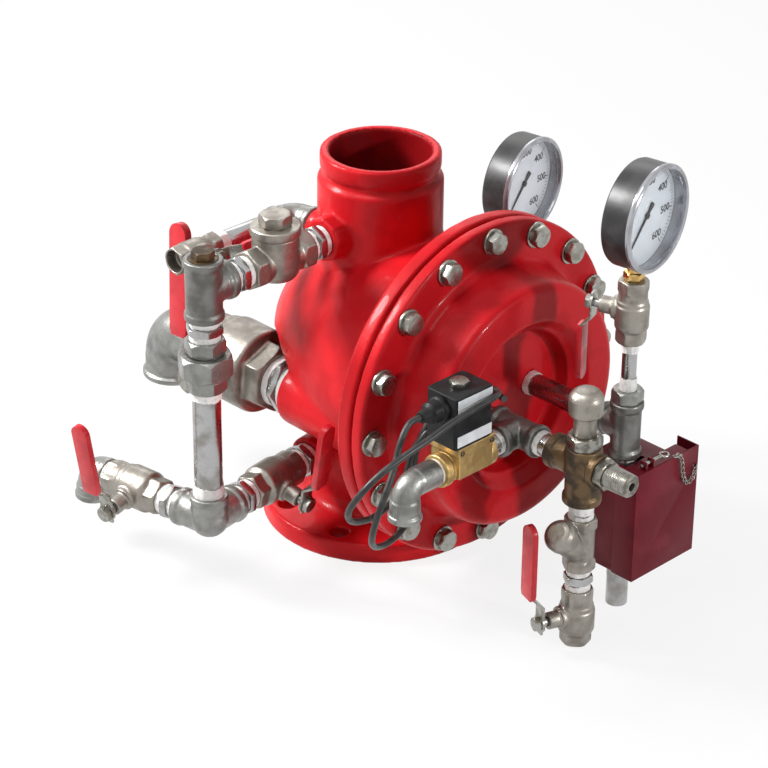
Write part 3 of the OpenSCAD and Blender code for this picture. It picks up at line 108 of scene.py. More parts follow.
world = bpy.data.worlds.new("studio_world")
bpy.context.scene.world = world
world.use_nodes = True
tree = world.node_tree
tree.nodes.clear()
out = tree.nodes.new("ShaderNodeOutputWorld")
mix = tree.nodes.new("ShaderNodeMixShader")
room = tree.nodes.new("ShaderNodeBackground")
room.inputs["Color"].default_value = (0.95, 0.97, 1, 1)
room.inputs["Strength"].default_value = 0.08
backdrop = tree.nodes.new("ShaderNodeBackground")
backdrop.inputs["Color"].default_value = (1, 1, 1, 1)
tree.links.new(seen_rays(tree), mix.inputs["Fac"])
tree.links.new(room.outputs["Background"], mix.inputs[1])
tree.links.new(backdrop.outputs["Background"], mix.inputs[2])
tree.links.new(mix.outputs["Shader"], out.inputs["Surface"])


def soft_box(name, at, aim, size, power):
    """A rectangular lamp at one point that shines at another, its power in watts."""
    lamp = bpy.data.lights.new(name, "AREA")
    lamp.shape = "RECTANGLE"
    lamp.size, lamp.size_y = size
    lamp.energy = power
    holder = bpy.data.objects.new(name, lamp)
    bpy.context.collection.objects.link(holder)
    turn = (Vector(aim) - Vector(at)).to_track_quat("-Z", "Y").to_matrix().to_4x4()
    holder.matrix_world = Matrix.Translation(at) @ turn


soft_box("box_above", (-0.9, 0.0, 2.2), (0, 0, 0.2), (1.0, 1.0), 16)
soft_box("box_left", (-1.4, 1.85, 1.95), (0, 0, 0.2), (0.7, 0.8), 130)
soft_box("box_front", (0.50, -2.58, 1.0), (0, 0, 0.25), (0.16, 0.16), 28)
soft_box("box_back", (1.6, 2.0, 1.8), (0, 0, 0.2), (1.2, 1.2), 10)

# Lead of the solenoid coil: a round black rubber cable, 6 mm thick, that leaves the gland
# and winds twice round the coil. Its end is cut bare, as it is before the valve is wired up.
lead_radius = 0.003
steps_between = 6
# Points on its middle line, in millimetres
lead_points = [
    (-167, -222, 251), (-180, -222, 250), (-192, -224, 238), (-204, -228, 217), (-216, -231, 200),
    (-224, -230, 182), (-225, -224, 160), (-216, -214, 140), (-199, -205, 126), (-176, -198, 120),
    (-153, -192, 124), (-140, -187, 142), (-138, -186, 168), (-138, -190, 196), (-133, -198, 222),
    (-114, -199, 238), (-94, -200, 243), (-83, -208, 245), (-80, -223, 248), (-86, -238, 252),
    (-102, -246, 255), (-126, -247, 254), (-152, -248, 252), (-182, -248, 246), (-212, -246, 239),
    (-236, -242, 229), (-251, -234, 212), (-252, -222, 192), (-241, -212, 174), (-220, -203, 160),
    (-194, -196, 152), (-168, -190, 154), (-150, -188, 172), (-144, -191, 196), (-136, -199, 214),
    (-114, -199, 229), (-94, -201, 234), (-76, -209, 237), (-73, -224, 240), (-80, -240, 244),
]


def smooth_route(points, steps):
    """Places in metres on a smooth curve through points in millimetres."""
    p = [Vector(q) / 1000 for q in points]
    route = []
    for i in range(len(p) - 1):
        a, b, c, d = p[max(i - 1, 0)], p[i], p[i + 1], p[min(i + 2, len(p) - 1)]
        for k in range(steps):
            t = k / steps
            route.append(0.5 * (2 * b + (c - a) * t + (2 * a - 5 * b + 4 * c - d) * t ** 2
                                + (3 * b - a - 3 * c + d) * t ** 3))
    return route + [p[-1]]


lead_route = smooth_route(lead_points, steps_between)
lead_curve = bpy.data.curves.new("solenoid_lead", "CURVE")
lead_curve.dimensions = "3D"
lead_curve.bevel_depth = lead_radius
lead_curve.bevel_resolution = 5
lead_curve.use_fill_caps = True
spline = lead_curve.splines.new("POLY")
spline.points.add(len(lead_route) - 1)
for point, place in zip(spline.points, lead_route):
    point.co = (*place, 1)
spline.use_smooth = True
lead = bpy.data.objects.new("solenoid_lead", lead_curve)
bpy.context.collection.objects.link(lead)


# A finish is one Principled shader; the groups below give it its grain and its colour changes
def new_finish(name, colour, rough, metal=0.0, coat=0.0, coat_rough=0.05, specular=0.5):
    """A material of one Principled shader; 0.5 is the plain strength of its reflection."""
    finish = bpy.data.materials.new(name)
    finish.use_nodes = True
    shader = finish.node_tree.nodes["Principled BSDF"]
    shader.inputs["Base Color"].default_value = (*colour, 1)
    shader.inputs["Roughness"].default_value = rough
    shader.inputs["Metallic"].default_value = metal
    shader.inputs["Coat Weight"].default_value = coat
    shader.inputs["Coat Roughness"].default_value = coat_rough
    shader.inputs["Specular IOR Level"].default_value = specular
    return finish


def new_group(name, inputs, outputs):
    """A node group with these sockets, and its two ends."""
    group = bpy.data.node_groups.new(name, "ShaderNodeTree")
    for label, kind, value in inputs:
        entry = group.interface.new_socket(label, in_out="INPUT", socket_type="NodeSocket" + kind)
        entry.default_value = value
    for label, kind in outputs:
        group.interface.new_socket(label, in_out="OUTPUT", socket_type="NodeSocket" + kind)
    return group, group.nodes.new("NodeGroupInput"), group.nodes.new("NodeGroupOutput")


def noise_at(group, coords, scale, detail):
    """A cloudy value between 0 and 1 that changes from place to place."""
    noise = group.nodes.new("ShaderNodeTexNoise")
    noise.inputs["Detail"].default_value = detail
    group.links.new(coords, noise.inputs["Vector"])
    group.links.new(scale, noise.inputs["Scale"])
    return noise.outputs["Fac"]


# Fine grain on top of a slow ripple, as a moulded, cast or painted skin has
grain, grain_in, grain_out = new_group(
    "skin_grain",
    [("Grain scale", "Float", 500.0), ("Grain depth", "Float", 0.0001),
     ("Ripple scale", "Float", 60.0), ("Ripple depth", "Float", 0.0004)],
    [("Normal", "Vector")])
coords = grain.nodes.new("ShaderNodeTexCoord").outputs["Object"]
fine = noise_at(grain, coords, grain_in.outputs["Grain scale"], 3)
slow = noise_at(grain, coords, grain_in.outputs["Ripple scale"], 2)
low_bump = grain.nodes.new("ShaderNodeBump")
grain.links.new(slow, low_bump.inputs["Height"])
grain.links.new(grain_in.outputs["Ripple depth"], low_bump.inputs["Distance"])
fine_bump = grain.nodes.new("ShaderNodeBump")
grain.links.new(fine, fine_bump.inputs["Height"])
grain.links.new(grain_in.outputs["Grain depth"], fine_bump.inputs["Distance"])
grain.links.new(low_bump.outputs["Normal"], fine_bump.inputs["Normal"])
grain.links.new(fine_bump.outputs["Normal"], grain_out.inputs["Normal"])

# Two colours in cloudy patches, with a roughness that changes with them
patches, patches_in, patches_out = new_group(
    "cloudy_patches",
    [("Colour", "Color", (0.5, 0.5, 0.5, 1)), ("Other colour", "Color", (0.3, 0.3, 0.3, 1)),
     ("Patch scale", "Float", 40.0), ("Low", "Float", 0.42), ("High", "Float", 0.62),
     ("Rough", "Float", 0.3), ("Other rough", "Float", 0.5)],
    [("Colour", "Color"), ("Rough", "Float")])
coords = patches.nodes.new("ShaderNodeTexCoord").outputs["Object"]
cloud = noise_at(patches, coords, patches_in.outputs["Patch scale"], 6)
share = patches.nodes.new("ShaderNodeMapRange")
share.interpolation_type = "SMOOTHSTEP"
patches.links.new(cloud, share.inputs["Value"])
patches.links.new(patches_in.outputs["Low"], share.inputs["From Min"])
patches.links.new(patches_in.outputs["High"], share.inputs["From Max"])
tint = patches.nodes.new("ShaderNodeMix")
tint.data_type = "RGBA"
patches.links.new(share.outputs["Result"], tint.inputs["Factor"])
patches.links.new(patches_in.outputs["Colour"], tint.inputs[6])
patches.links.new(patches_in.outputs["Other colour"], tint.inputs[7])
rough_mix = patches.nodes.new("ShaderNodeMix")
patches.links.new(share.outputs["Result"], rough_mix.inputs["Factor"])
patches.links.new(patches_in.outputs["Rough"], rough_mix.inputs[2])
patches.links.new(patches_in.outputs["Other rough"], rough_mix.inputs[3])
patches.links.new(tint.outputs[2], patches_out.inputs["Colour"])
patches.links.new(rough_mix.outputs[0], patches_out.inputs["Rough"])


def use_group(finish, group, values, joins):
    """Puts a group into a finish and joins its outputs to the shader."""
    node = finish.node_tree.nodes.new("ShaderNodeGroup")
    node.node_tree = bpy.data.node_groups[group]
    for label, value in values.items():
        node.inputs[label].default_value = value
    shader = finish.node_tree.nodes["Principled BSDF"]
    for output, socket in joins.items():
        finish.node_tree.links.new(node.outputs[output], shader.inputs[socket])


def add_grain(finish, grain_scale, grain_depth, ripple_scale, ripple_depth):
    use_group(finish, "skin_grain",
              {"Grain scale": grain_scale, "Grain depth": grain_depth,
               "Ripple scale": ripple_scale, "Ripple depth": ripple_depth},
              {"Normal": "Normal"})


def add_patches(finish, colour, other, scale, rough, other_rough, low=0.42, high=0.62):
    use_group(finish, "cloudy_patches",
              {"Colour": (*colour, 1), "Other colour": (*other, 1), "Patch scale": scale,
               "Low": low, "High": high, "Rough": rough, "Other rough": other_rough},
              {"Colour": "Base Color", "Rough": "Roughness"})


lead_rubber = new_finish("lead_rubber", (0.012, 0.012, 0.012), 0.42)
add_patches(lead_rubber, (0.010, 0.010, 0.010), (0.028, 0.027, 0.025), 90, 0.36, 0.55)
add_grain(lead_rubber, 900, 0.00004, 120, 0.0001)
lead_curve.materials.append(lead_rubber)
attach(lead, "fixed_trim")
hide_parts("solenoid_cord")

# Valve casting: inlet flange, barrel, outlet neck and bosses in one piece of ductile iron,
# painted a thick glossy red. The mould leaves soft fillets where the bosses meet the barrel.
merge_gap = 0.00001  # corners closer than this are one corner


def wear(name, finish):
    """Gives a CAD node this finish."""
    for entry in nodes[name].material_slots:
        entry.material = finish


def loose_copy(name, node, flatten=0):
    """A copy of a CAD node without a finish, selected, with its doubled corners merged.

    Faces that turn less than flatten, where it is given, become one flat face.
    """
    bpy.ops.object.select_all(action="DESELECT")
    piece = nodes[node].copy()
    piece.data = nodes[node].data.copy()
    piece.name = name
    piece.parent = None
    piece.matrix_world = Matrix()
    piece.data.materials.clear()
    bpy.context.collection.objects.link(piece)
    piece.select_set(True)
    bpy.context.view_layer.objects.active = piece
    bpy.ops.object.mode_set(mode="EDIT")
    bpy.ops.mesh.select_all(action="SELECT")
    bpy.ops.mesh.remove_doubles(threshold=merge_gap)
    if flatten:
        bpy.ops.mesh.dissolve_limited(angle_limit=flatten)
    bpy.ops.object.mode_set(mode="OBJECT")
    return piece


def cast_copy(name, node, voxel, rounds, keep=1.0):
    """A copy of a CAD node with the soft edges and fillets of a casting."""
    piece = loose_copy(name, node)
    remesh = piece.modifiers.new("skin", "REMESH")
    remesh.mode = "VOXEL"
    remesh.voxel_size = voxel
    bpy.ops.object.modifier_apply(modifier="skin")
    soften = piece.modifiers.new("soften", "SMOOTH")
    soften.factor = 0.5
    soften.iterations = rounds
    bpy.ops.object.modifier_apply(modifier="soften")
    if keep < 1:
        thin = piece.modifiers.new("thin", "DECIMATE")
        thin.ratio = keep
        bpy.ops.object.modifier_apply(modifier="thin")
    bpy.ops.object.shade_smooth()
    return piece


red_paint = new_finish("red_paint", (0.58, 0.010, 0.016), 0.4, coat=0.09, coat_rough=0.06, specular=0.1)
add_patches(red_paint, (0.60, 0.010, 0.016), (0.51, 0.007, 0.012), 25, 0.36, 0.46)
add_grain(red_paint, 360, 0.00022, 40, 0.0003)
# A darker red that stands for the shadow inside the outlet's bore: painted shade
bore_painted_shade = new_finish("bore_painted_shade", (0.22, 0.004, 0.006), 0.5, specular=0.1)
add_patches(bore_painted_shade, (0.24, 0.004, 0.006), (0.17, 0.003, 0.005), 25, 0.45, 0.6)
add_grain(bore_painted_shade, 360, 0.00022, 40, 0.0003)
casting = cast_copy("valve_casting", "valve_body", 0.0022, 4, 0.5)
casting.data.materials.append(red_paint)
casting.data.materials.append(bore_painted_shade)
# The wall of the outlet's bore gets a darker red, painted shade for the shadow that falls inside the
# bore
bore_from, bore_wall = 0.2, 0.0495
for face in casting.data.polygons:
    if face.center.z > bore_from and face.center.xy.length < bore_wall:
        face.material_index = 1
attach(casting, "fixed_trim")
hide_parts("valve_body")

# Cover: a second iron casting bolted on the front, with a raised drum and a sunk middle
# where the release pipes screw in. It has the same red paint as the body.
cover = cast_copy("front_cover", "cover", 0.0018, 5, 0.55)
cover.data.materials.append(red_paint)
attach(cover, "fixed_trim")
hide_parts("cover")

# Cover bolts and washers: zinc-plated steel, forged heads with turned-down corners on
# stamped washers, a little dull and stained where they stood in the weather.
def machined_copy(name, node, edge, steps=2, crease=30):
    """A copy of a CAD node with its sharp edges broken, as on a turned or stamped part."""
    piece = loose_copy(name, node, flatten=math.radians(0.4))
    broken = piece.modifiers.new("edge", "BEVEL")
    broken.width = edge
    broken.segments = steps
    broken.limit_method = "ANGLE"
    broken.angle_limit = math.radians(crease)
    broken.use_clamp_overlap = True
    bpy.ops.object.modifier_apply(modifier="edge")
    bpy.ops.object.shade_smooth_by_angle(angle=math.radians(crease))
    return piece


def dress(piece, finish, body="fixed_trim", stands_for=()):
    """Gives a new piece its finish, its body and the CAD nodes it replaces."""
    piece.data.materials.append(finish)
    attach(piece, body)
    for name in stands_for:
        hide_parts(name)


zinc_plate = new_finish("zinc_plate", (0.42, 0.42, 0.39), 0.32, metal=0.95)
add_patches(zinc_plate, (0.36, 0.36, 0.33), (0.25, 0.235, 0.2), 120, 0.24, 0.38)
add_grain(zinc_plate, 1500, 0.00002, 120, 0.00004)
dress(machined_copy("bolts", "cover_bolts", 0.0005), zinc_plate, stands_for=["cover_bolts"])
dress(machined_copy("washers", "cover_washers", 0.0003), zinc_plate,
      stands_for=["cover_washers"])

# Galvanised fittings: tees, elbows, the union and the bushings are malleable iron castings
# with beaded rims, hot dipped in zinc, so they are grey, grainy and a little blotched.
galvanised = new_finish("galvanised", (0.27, 0.27, 0.255), 0.38, metal=0.85)
add_patches(galvanised, (0.30, 0.30, 0.285), (0.20, 0.20, 0.185), 70, 0.32, 0.46, 0.36, 0.70)
add_grain(galvanised, 800, 0.00014, 160, 0.0005)
dull_zinc = new_finish("dull_zinc", (0.18, 0.18, 0.172), 0.42, metal=0.8)
add_patches(dull_zinc, (0.21, 0.21, 0.20), (0.125, 0.122, 0.11), 60, 0.36, 0.5, 0.36, 0.70)
add_grain(dull_zinc, 800, 0.00014, 160, 0.0005)
for name, node, finish in (("corner_elbow", "side_outlet_elbow", galvanised),
                           ("line_elbows", "pipe_elbows", galvanised),
                           ("riser_tee_casting", "riser_tee", dull_zinc),
                           ("line_tees", "tees", dull_zinc)):
    dress(cast_copy(name, node, 0.0009, 5), finish, stands_for=[node])
for name, node in (("union_halves", "union_ends"), ("union_ring", "union_nut"),
                   ("reducers", "bushings")):
    dress(machined_copy(name, node, 0.0008), galvanised, stands_for=[node])

# Cast stainless fittings: the check valve, the ball valves and the strainer have a smooth
# blasted skin, warmer and brighter than the zinc, with machined hexagons at their ends.
cast_steel = new_finish("cast_steel", (0.29, 0.268, 0.238), 0.42, metal=0.95)
add_patches(cast_steel, (0.33, 0.306, 0.27), (0.22, 0.2, 0.175), 70, 0.37, 0.5, 0.38, 0.68)
add_grain(cast_steel, 1100, 0.00009, 150, 0.0004)
for name, node, voxel, slot in (("check_valve_casting", "check_valve_body", 0.0009, "galvanised"),
                                ("drain_valve_casting", "drain_valve_body", 0.0013, "stainless"),
                                ("ball_valve_castings", "ball_valve_bodies", 0.0009, "stainless"),
                                ("strainer_casting", "strainer_body", 0.0008, "stainless")):
    dress(cast_copy(name, node, voxel, 3), cast_steel, stands_for=[node])
dress(machined_copy("check_valve_lid", "check_valve_cap", 0.0006), cast_steel,
      stands_for=["check_valve_cap"])

# Pipes and hexagon nipples: drawn steel tube and bar-stock nipples, smooth and bright, with
# faint draw marks.
bright_steel = new_finish("bright_steel", (0.40, 0.40, 0.39), 0.26, metal=1.0)
add_patches(bright_steel, (0.43, 0.43, 0.43), (0.27, 0.26, 0.24), 60, 0.22, 0.34, 0.4, 0.68)
add_grain(bright_steel, 1600, 0.00002, 90, 0.00012)
for name, node in (("bright_pipes", "branch_pipes"), ("riser", "riser_pipe"),
                   ("nipple_set", "hex_nipples")):
    dress(machined_copy(name, node, 0.0004), bright_steel, stands_for=[node])
for name in nodes:
    if name in ("seal_plate", "closing_spring", "strainer_screen") or name.endswith("_ball"):
        wear(name, bright_steel)

# Thread tape: white PTFE ribbon wound on each male thread. A band of it shows at the mouth
# of every joint, pressed flat on the pipe and a little ragged at its edge.
tape_white = new_finish("tape_white", (0.84, 0.83, 0.80), 0.5)
add_patches(tape_white, (0.88, 0.87, 0.85), (0.70, 0.67, 0.61), 220, 0.42, 0.6, 0.5, 0.75)
add_grain(tape_white, 1300, 0.0001, 300, 0.0004)
tape_thickness = 0.0006
# Height of a band over the pipe at its mouth, its fall towards the far edge, its creases
# and how far its edge is frayed
tape_height, tape_slope, tape_crease, tape_fray = 0.0012, 0.0006, 0.00012, 0.00045


def set_out(piece, at, way):
    """Turns a piece modelled up from the origin so that it stands out from a point along way."""
    turn = Vector(way).to_track_quat("Z", "Y").to_matrix().to_4x4()
    piece.data.transform(Matrix.Translation(Vector(at)) @ turn)


def joined(name, pieces):
    """One piece made of several."""
    bpy.ops.object.select_all(action="DESELECT")
    for piece in pieces:
        piece.select_set(True)
    bpy.context.view_layer.objects.active = pieces[0]
    bpy.ops.object.join()
    whole = bpy.context.object
    whole.name = name
    return whole


def tape_band(at, way, pipe, width, seed):
    """A ragged band round a pipe, from the mouth at a point outwards along way."""
    bpy.ops.object.select_all(action="DESELECT")
    bpy.ops.mesh.primitive_cylinder_add(vertices=44, radius=pipe + 0.0011, depth=width,
                                        end_fill_type="NOTHING", location=(0, 0, width / 2))
    band = bpy.context.object
    bpy.ops.object.transform_apply(location=True)
    bpy.ops.object.mode_set(mode="EDIT")
    bpy.ops.mesh.select_all(action="SELECT")
    bpy.ops.mesh.subdivide(number_cuts=2)
    bpy.ops.object.mode_set(mode="OBJECT")
    for vertex in band.data.vertices:
        x, y, z = vertex.co
        angle = math.atan2(y, x)
        far = z / width
        wave = (math.sin(3 * angle + seed) + 0.6 * math.sin(7 * angle + 2 * seed)
                + 0.4 * math.sin(17 * angle + seed))
        crease = tape_crease * math.sin(11 * angle + 3 * seed)
        radius = pipe + tape_height - tape_slope * far ** 2 + crease
        vertex.co = (radius * math.cos(angle), radius * math.sin(angle), z + far * tape_fray * wave)
    thick = band.modifiers.new("ribbon", "SOLIDIFY")
    thick.thickness = tape_thickness
    thick.offset = -1
    bpy.ops.object.modifier_apply(modifier="ribbon")
    set_out(band, at, way)
    bpy.ops.object.shade_smooth_by_angle(angle=math.radians(50))
    return band


# The two lines at the corner elbow are turned a little out of the square
corner_turn = math.radians(8)
supply_way = Vector((math.cos(corner_turn), math.sin(corner_turn), 0))
test_way = Vector((-math.sin(corner_turn), math.cos(corner_turn), 0))
corner = Vector((-0.22, 0, 0.075))
# Radii of the four pipe sizes
tiny, small, middle, wide = 0.00685, 0.01065, 0.01335, 0.02415
side_x, side_y, side_z = Vector((1, 0, 0)), Vector((0, 1, 0)), Vector((0, 0, 1))
# Each joint's mouth, the way its pipe runs out, the pipe's radius and the band's width
mouths = [
    ((-0.220, 0, 0.284), -side_z, middle, 0.006), ((-0.190, 0, 0.314), side_x, middle, 0.005),
    ((-0.170, 0, 0.314), -side_x, middle, 0.006), ((-0.096, 0, 0.314), side_x, middle, 0.0055),
    ((-0.076, 0, 0.314), -side_x, middle, 0.006), ((-0.220, 0, 0.264), side_z, middle, 0.006),
    ((-0.220, 0, 0.212), -side_z, middle, 0.009), ((-0.220, 0, 0.101), side_z, middle, 0.011),
    (corner + 0.036 * supply_way, supply_way, middle, 0.006),
    (corner + 0.056 * supply_way, -supply_way, middle, 0.006),
    (corner + 0.124 * supply_way, supply_way, middle, 0.006),
    (corner + 0.144 * supply_way, -supply_way, middle, 0.006),
    (corner + 0.036 * test_way, test_way, middle, 0.006),
    (corner + 0.056 * test_way, -test_way, middle, 0.006),
    (corner + 0.124 * test_way, test_way, middle, 0.010),
    ((-0.084, 0.022, 0.150), side_y, wide, 0.008), ((-0.084, 0.050, 0.150), -side_y, wide, 0.007),
    ((0.037, -0.165, 0.188), -side_y, small, 0.006), ((0.037, -0.255, 0.188), side_y, small, 0.004),
    ((-0.040, -0.165, 0.188), -side_y, small, 0.006), ((-0.040, -0.193, 0.188), side_y, small, 0.004),
    ((-0.040, -0.249, 0.188), -side_y, small, 0.006), ((-0.040, -0.265, 0.188), side_y, small, 0.0035),
    ((-0.068, -0.221, 0.188), -side_x, small, 0.0045), ((-0.081, -0.221, 0.188), side_x, small, 0.003),
    ((-0.145, -0.221, 0.188), -side_x, small, 0.011), ((-0.040, -0.301, 0.150), -side_z, small, 0.011),
    ((-0.040, -0.301, 0.134), side_z, small, 0.004), ((-0.040, -0.301, 0.080), -side_z, small, 0.0055),
    ((-0.040, -0.301, 0.059), side_z, small, 0.0055), ((0.037, -0.283, 0.228), side_z, tiny, 0.012),
    ((0.037, -0.283, 0.276), -side_z, tiny, 0.010), ((0.037, -0.283, 0.160), -side_z, small, 0.007),
    ((-0.030, 0.0555, 0.297), side_y, small, 0.0025), ((-0.058, 0.0865, 0.297), -side_x, small, 0.004),
    ((-0.130, 0.0865, 0.297), side_x, small, 0.010), ((0.082, -0.014, 0.098), side_x, small, 0.006),
    ((0.144, -0.014, 0.098), -side_x, small, 0.006), ((0.172, -0.014, 0.138), side_z, tiny, 0.006),
    ((0.172, -0.014, 0.176), -side_z, tiny, 0.008),
]
tape = joined("thread_tape", [tape_band(*mouth, seed) for seed, mouth in enumerate(mouths)])
dress(tape, tape_white)

# Levers: a zinc-plated steel strap, cranked away from the pipe, with its outer part dipped
# in red vinyl. A nut holds it on the flats of the valve's stem.
grip_vinyl = new_finish("grip_vinyl", (0.52, 0.009, 0.018), 0.36, coat=0.2, coat_rough=0.12,
                        specular=0.3)
add_patches(grip_vinyl, (0.56, 0.010, 0.019), (0.46, 0.007, 0.015), 60, 0.3, 0.44)
add_grain(grip_vinyl, 1000, 0.00003, 110, 0.0002)
hinges = {joint["child"]: joint for joint in frame["joints"]}
# The vinyl starts this far before the grip does
grip_lap = 0.0006
# Each valve, how far from its stem the lever's grip starts, and how much its edges are rounded
for valve, grip_from, edge in (("drain", 0.047, 0.0022), ("supply", 0.0326, 0.0017),
                               ("test", 0.0326, 0.0017), ("alarm", 0.0224, 0.0014),
                               ("strainer", 0.0314, 0.0014), ("gauge", 0.023, 0.0014),
                               ("rear_gauge", 0.023, 0.0014), ("release", 0.0116, 0.0011)):
    handle = machined_copy(valve + "_handle", valve + "_lever", edge, 3, 28)
    joint = hinges[valve + "_handle"]
    stem = Vector(joint["axis"]).normalized()
    centre = Vector(joint["pos_m"])
    flat = [v.co - centre - (v.co - centre).dot(stem) * stem for v in handle.data.vertices]
    arm = max(flat, key=lambda v: v.length).normalized()
    handle.data.materials.append(zinc_plate)
    handle.data.materials.append(grip_vinyl)
    for face in handle.data.polygons:
        face.material_index = int((face.center - centre).dot(arm) > grip_from - grip_lap)
    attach(handle, valve + "_handle")
    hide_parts(valve + "_lever")

# Pressure gauges: a black drawn-steel case with a rolled rim, a white enamelled dial behind
# a flat window, a black pointer at zero and a brass socket that screws into the valve.
case_black = new_finish("case_black", (0.014, 0.014, 0.015), 0.4, coat=0.12, coat_rough=0.3,
                        specular=0.35)
add_patches(case_black, (0.012, 0.012, 0.013), (0.030, 0.029, 0.028), 40, 0.38, 0.48)
add_grain(case_black, 1200, 0.00002, 80, 0.0002)
rim_grey = new_finish("rim_grey", (0.40, 0.41, 0.44), 0.16, metal=0.7)
add_patches(rim_grey, (0.42, 0.43, 0.46), (0.32, 0.32, 0.34), 60, 0.14, 0.24)
add_grain(rim_grey, 1500, 0.00001, 60, 0.0001)
dial_white = new_finish("dial_white", (0.84, 0.85, 0.86), 0.4)
add_patches(dial_white, (0.84, 0.90, 0.96), (0.79, 0.85, 0.91), 50, 0.35, 0.45)
dial_ink = new_finish("dial_ink", (0.012, 0.012, 0.014), 0.5)
add_patches(dial_ink, (0.010, 0.010, 0.012), (0.022, 0.022, 0.024), 200, 0.45, 0.6)
socket_brass = new_finish("socket_brass", (0.66, 0.44, 0.16), 0.28, metal=1.0)
add_patches(socket_brass, (0.70, 0.47, 0.18), (0.50, 0.31, 0.11), 120, 0.22, 0.4)
add_grain(socket_brass, 1300, 0.00004, 180, 0.0002)
window = new_finish("gauge_window", (1, 1, 1), 0.01)
window.node_tree.nodes["Principled BSDF"].inputs["Transmission Weight"].default_value = 1.0
window.node_tree.nodes["Principled BSDF"].inputs["IOR"].default_value = 1.15
add_grain(window, 900, 0.0000005, 30, 0.00001)
cases = machined_copy("gauge_housings", "gauge_cases", 0.0004)
cases.data.materials.append(case_black)
cases.data.materials.append(rim_grey)
dress(machined_copy("gauge_stems", "gauge_sockets", 0.0003), socket_brass,
      stands_for=["gauge_sockets"])
wear("gauge_dials", dial_white)
wear("gauge_windows", window)
wear("front_pointer", dial_ink)
wear("rear_pointer", dial_ink)
gauge_turn = Matrix.Rotation(math.radians(9), 4, "Z")
gauge_centres = (Vector((0.037, -0.283, 0.402)), Vector((0.172, -0.014, 0.302)))
gauge_faces = [Matrix.Translation(c) @ gauge_turn @ Matrix.Translation((0, 0.008, 0))
               @ Matrix.Rotation(math.radians(90), 4, "X") for c in gauge_centres]
# The rolled rim and the wall inside it are bright: heights over the back, radii from the axis
wall_from, rim_from, rim_to = 0.0145, 0.0262, 0.04
wall_inside, wall_outside, rim_outside = 0.043, 0.0475, 0.0508
for face in cases.data.polygons:
    for inverse in [place.inverted() for place in gauge_faces]:
        local = inverse @ face.center
        away = local.xy.length
        on_rim = rim_from < local.z < rim_to and away < rim_outside
        on_wall = wall_from < local.z < rim_from and wall_inside < away < wall_outside
        if on_rim or on_wall:
            face.material_index = 1
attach(cases, "fixed_trim")
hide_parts("gauge_cases")

# The dial's scale: where zero stands and how far the divisions sweep, in degrees, how many
# divisions and hundreds there are, the print's height over the back, and the radii of the
# divisions' outer ends, of the numbers and of the nought
zero_at, sweep = 217, 270
divisions, hundreds = 60, 6
print_height = 0.0162
scale_radius, number_radius, nought_radius = 0.0436, 0.0312, 0.0345


def dial_print(name, place):
    """The scale: sixty divisions and round hundreds, printed in black on the dial."""
    marks = []
    for step in range(divisions + 1):
        angle = math.radians(zero_at - sweep / divisions * step)
        tall = 0.0068 if step % 10 == 0 else (0.0048 if step % 5 == 0 else 0.0032)
        broad = 0.0008 if step % 10 == 0 else 0.0004
        bpy.ops.object.select_all(action="DESELECT")
        bpy.ops.mesh.primitive_plane_add(size=1)
        mark = bpy.context.object
        mark.data.transform(Matrix.Rotation(angle, 4, "Z")
                            @ Matrix.Translation((scale_radius - tall / 2, 0, print_height))
                            @ Matrix.Diagonal((tall, broad, 1, 1)))
        marks.append(mark)
    for step in range(hundreds + 1):
        angle = math.radians(zero_at - sweep / hundreds * step)
        bpy.ops.object.text_add()
        label = bpy.context.object
        label.data.body = str(100 * step)
        label.data.size = 0.0098
        label.data.align_x = "CENTER"
        label.data.align_y = "CENTER"
        label.data.offset = 0.0002
        bpy.ops.object.select_all(action="DESELECT")
        label.select_set(True)
        bpy.ops.object.convert(target="MESH")
        label = bpy.context.object
        spread = number_radius if step else nought_radius
        label.data.transform(Matrix.Translation((spread * math.cos(angle), spread * math.sin(angle),
                                                 print_height)))
        marks.append(label)
    ink = joined(name, marks)
    ink.data.transform(place)
    ink.data.materials.clear()
    dress(ink, dial_ink)


dial_print("front_dial_print", gauge_faces[0])
dial_print("rear_dial_print", gauge_faces[1])

# Release box: folded sheet steel in dark red enamel, with a hinged front that a pull pin
# keeps shut. The enamel is rubbed and a little chalky.
box_enamel = new_finish("box_enamel", (0.17, 0.008, 0.018), 0.45, coat=0.04, coat_rough=0.2,
                        specular=0.14)
add_patches(box_enamel, (0.19, 0.009, 0.020), (0.14, 0.006, 0.015), 18, 0.38, 0.52)
add_grain(box_enamel, 600, 0.00006, 30, 0.0005)
dress(machined_copy("box_shell", "release_box", 0.0003), box_enamel,
      stands_for=["release_box"])
dress(machined_copy("box_front", "box_door", 0.0005, 3), box_enamel, "door",
      ["box_door"])
wear("lock_chain", zinc_plate)
wear("lock_pin", zinc_plate)

# Solenoid valve: a forged brass body and pilot block under a black moulded coil, with a
# plated nut on top, a cable gland on its side and two plain labels on its front.
coil_black = new_finish("coil_black", (0.008, 0.008, 0.009), 0.45, specular=0.2)
add_patches(coil_black, (0.007, 0.007, 0.008), (0.016, 0.016, 0.016), 70, 0.4, 0.58)
add_grain(coil_black, 1200, 0.00006, 90, 0.0001)
forged_brass = new_finish("forged_brass", (0.52, 0.36, 0.14), 0.45, metal=0.85)
add_patches(forged_brass, (0.55, 0.38, 0.155), (0.36, 0.24, 0.095), 90, 0.38, 0.56)
add_grain(forged_brass, 1000, 0.0001, 170, 0.0004)
label_paper = new_finish("label_paper", (0.78, 0.80, 0.82), 0.4)
add_patches(label_paper, (0.80, 0.82, 0.84), (0.70, 0.72, 0.75), 80, 0.35, 0.5)
dress(cast_copy("brass_valve", "solenoid_body", 0.0007, 2), forged_brass,
      stands_for=["solenoid_body"])
dress(machined_copy("coil", "solenoid_coil", 0.0012, 3), coil_black,
      stands_for=["solenoid_coil"])
dress(machined_copy("gland", "solenoid_gland", 0.0004), coil_black,
      stands_for=["solenoid_gland"])
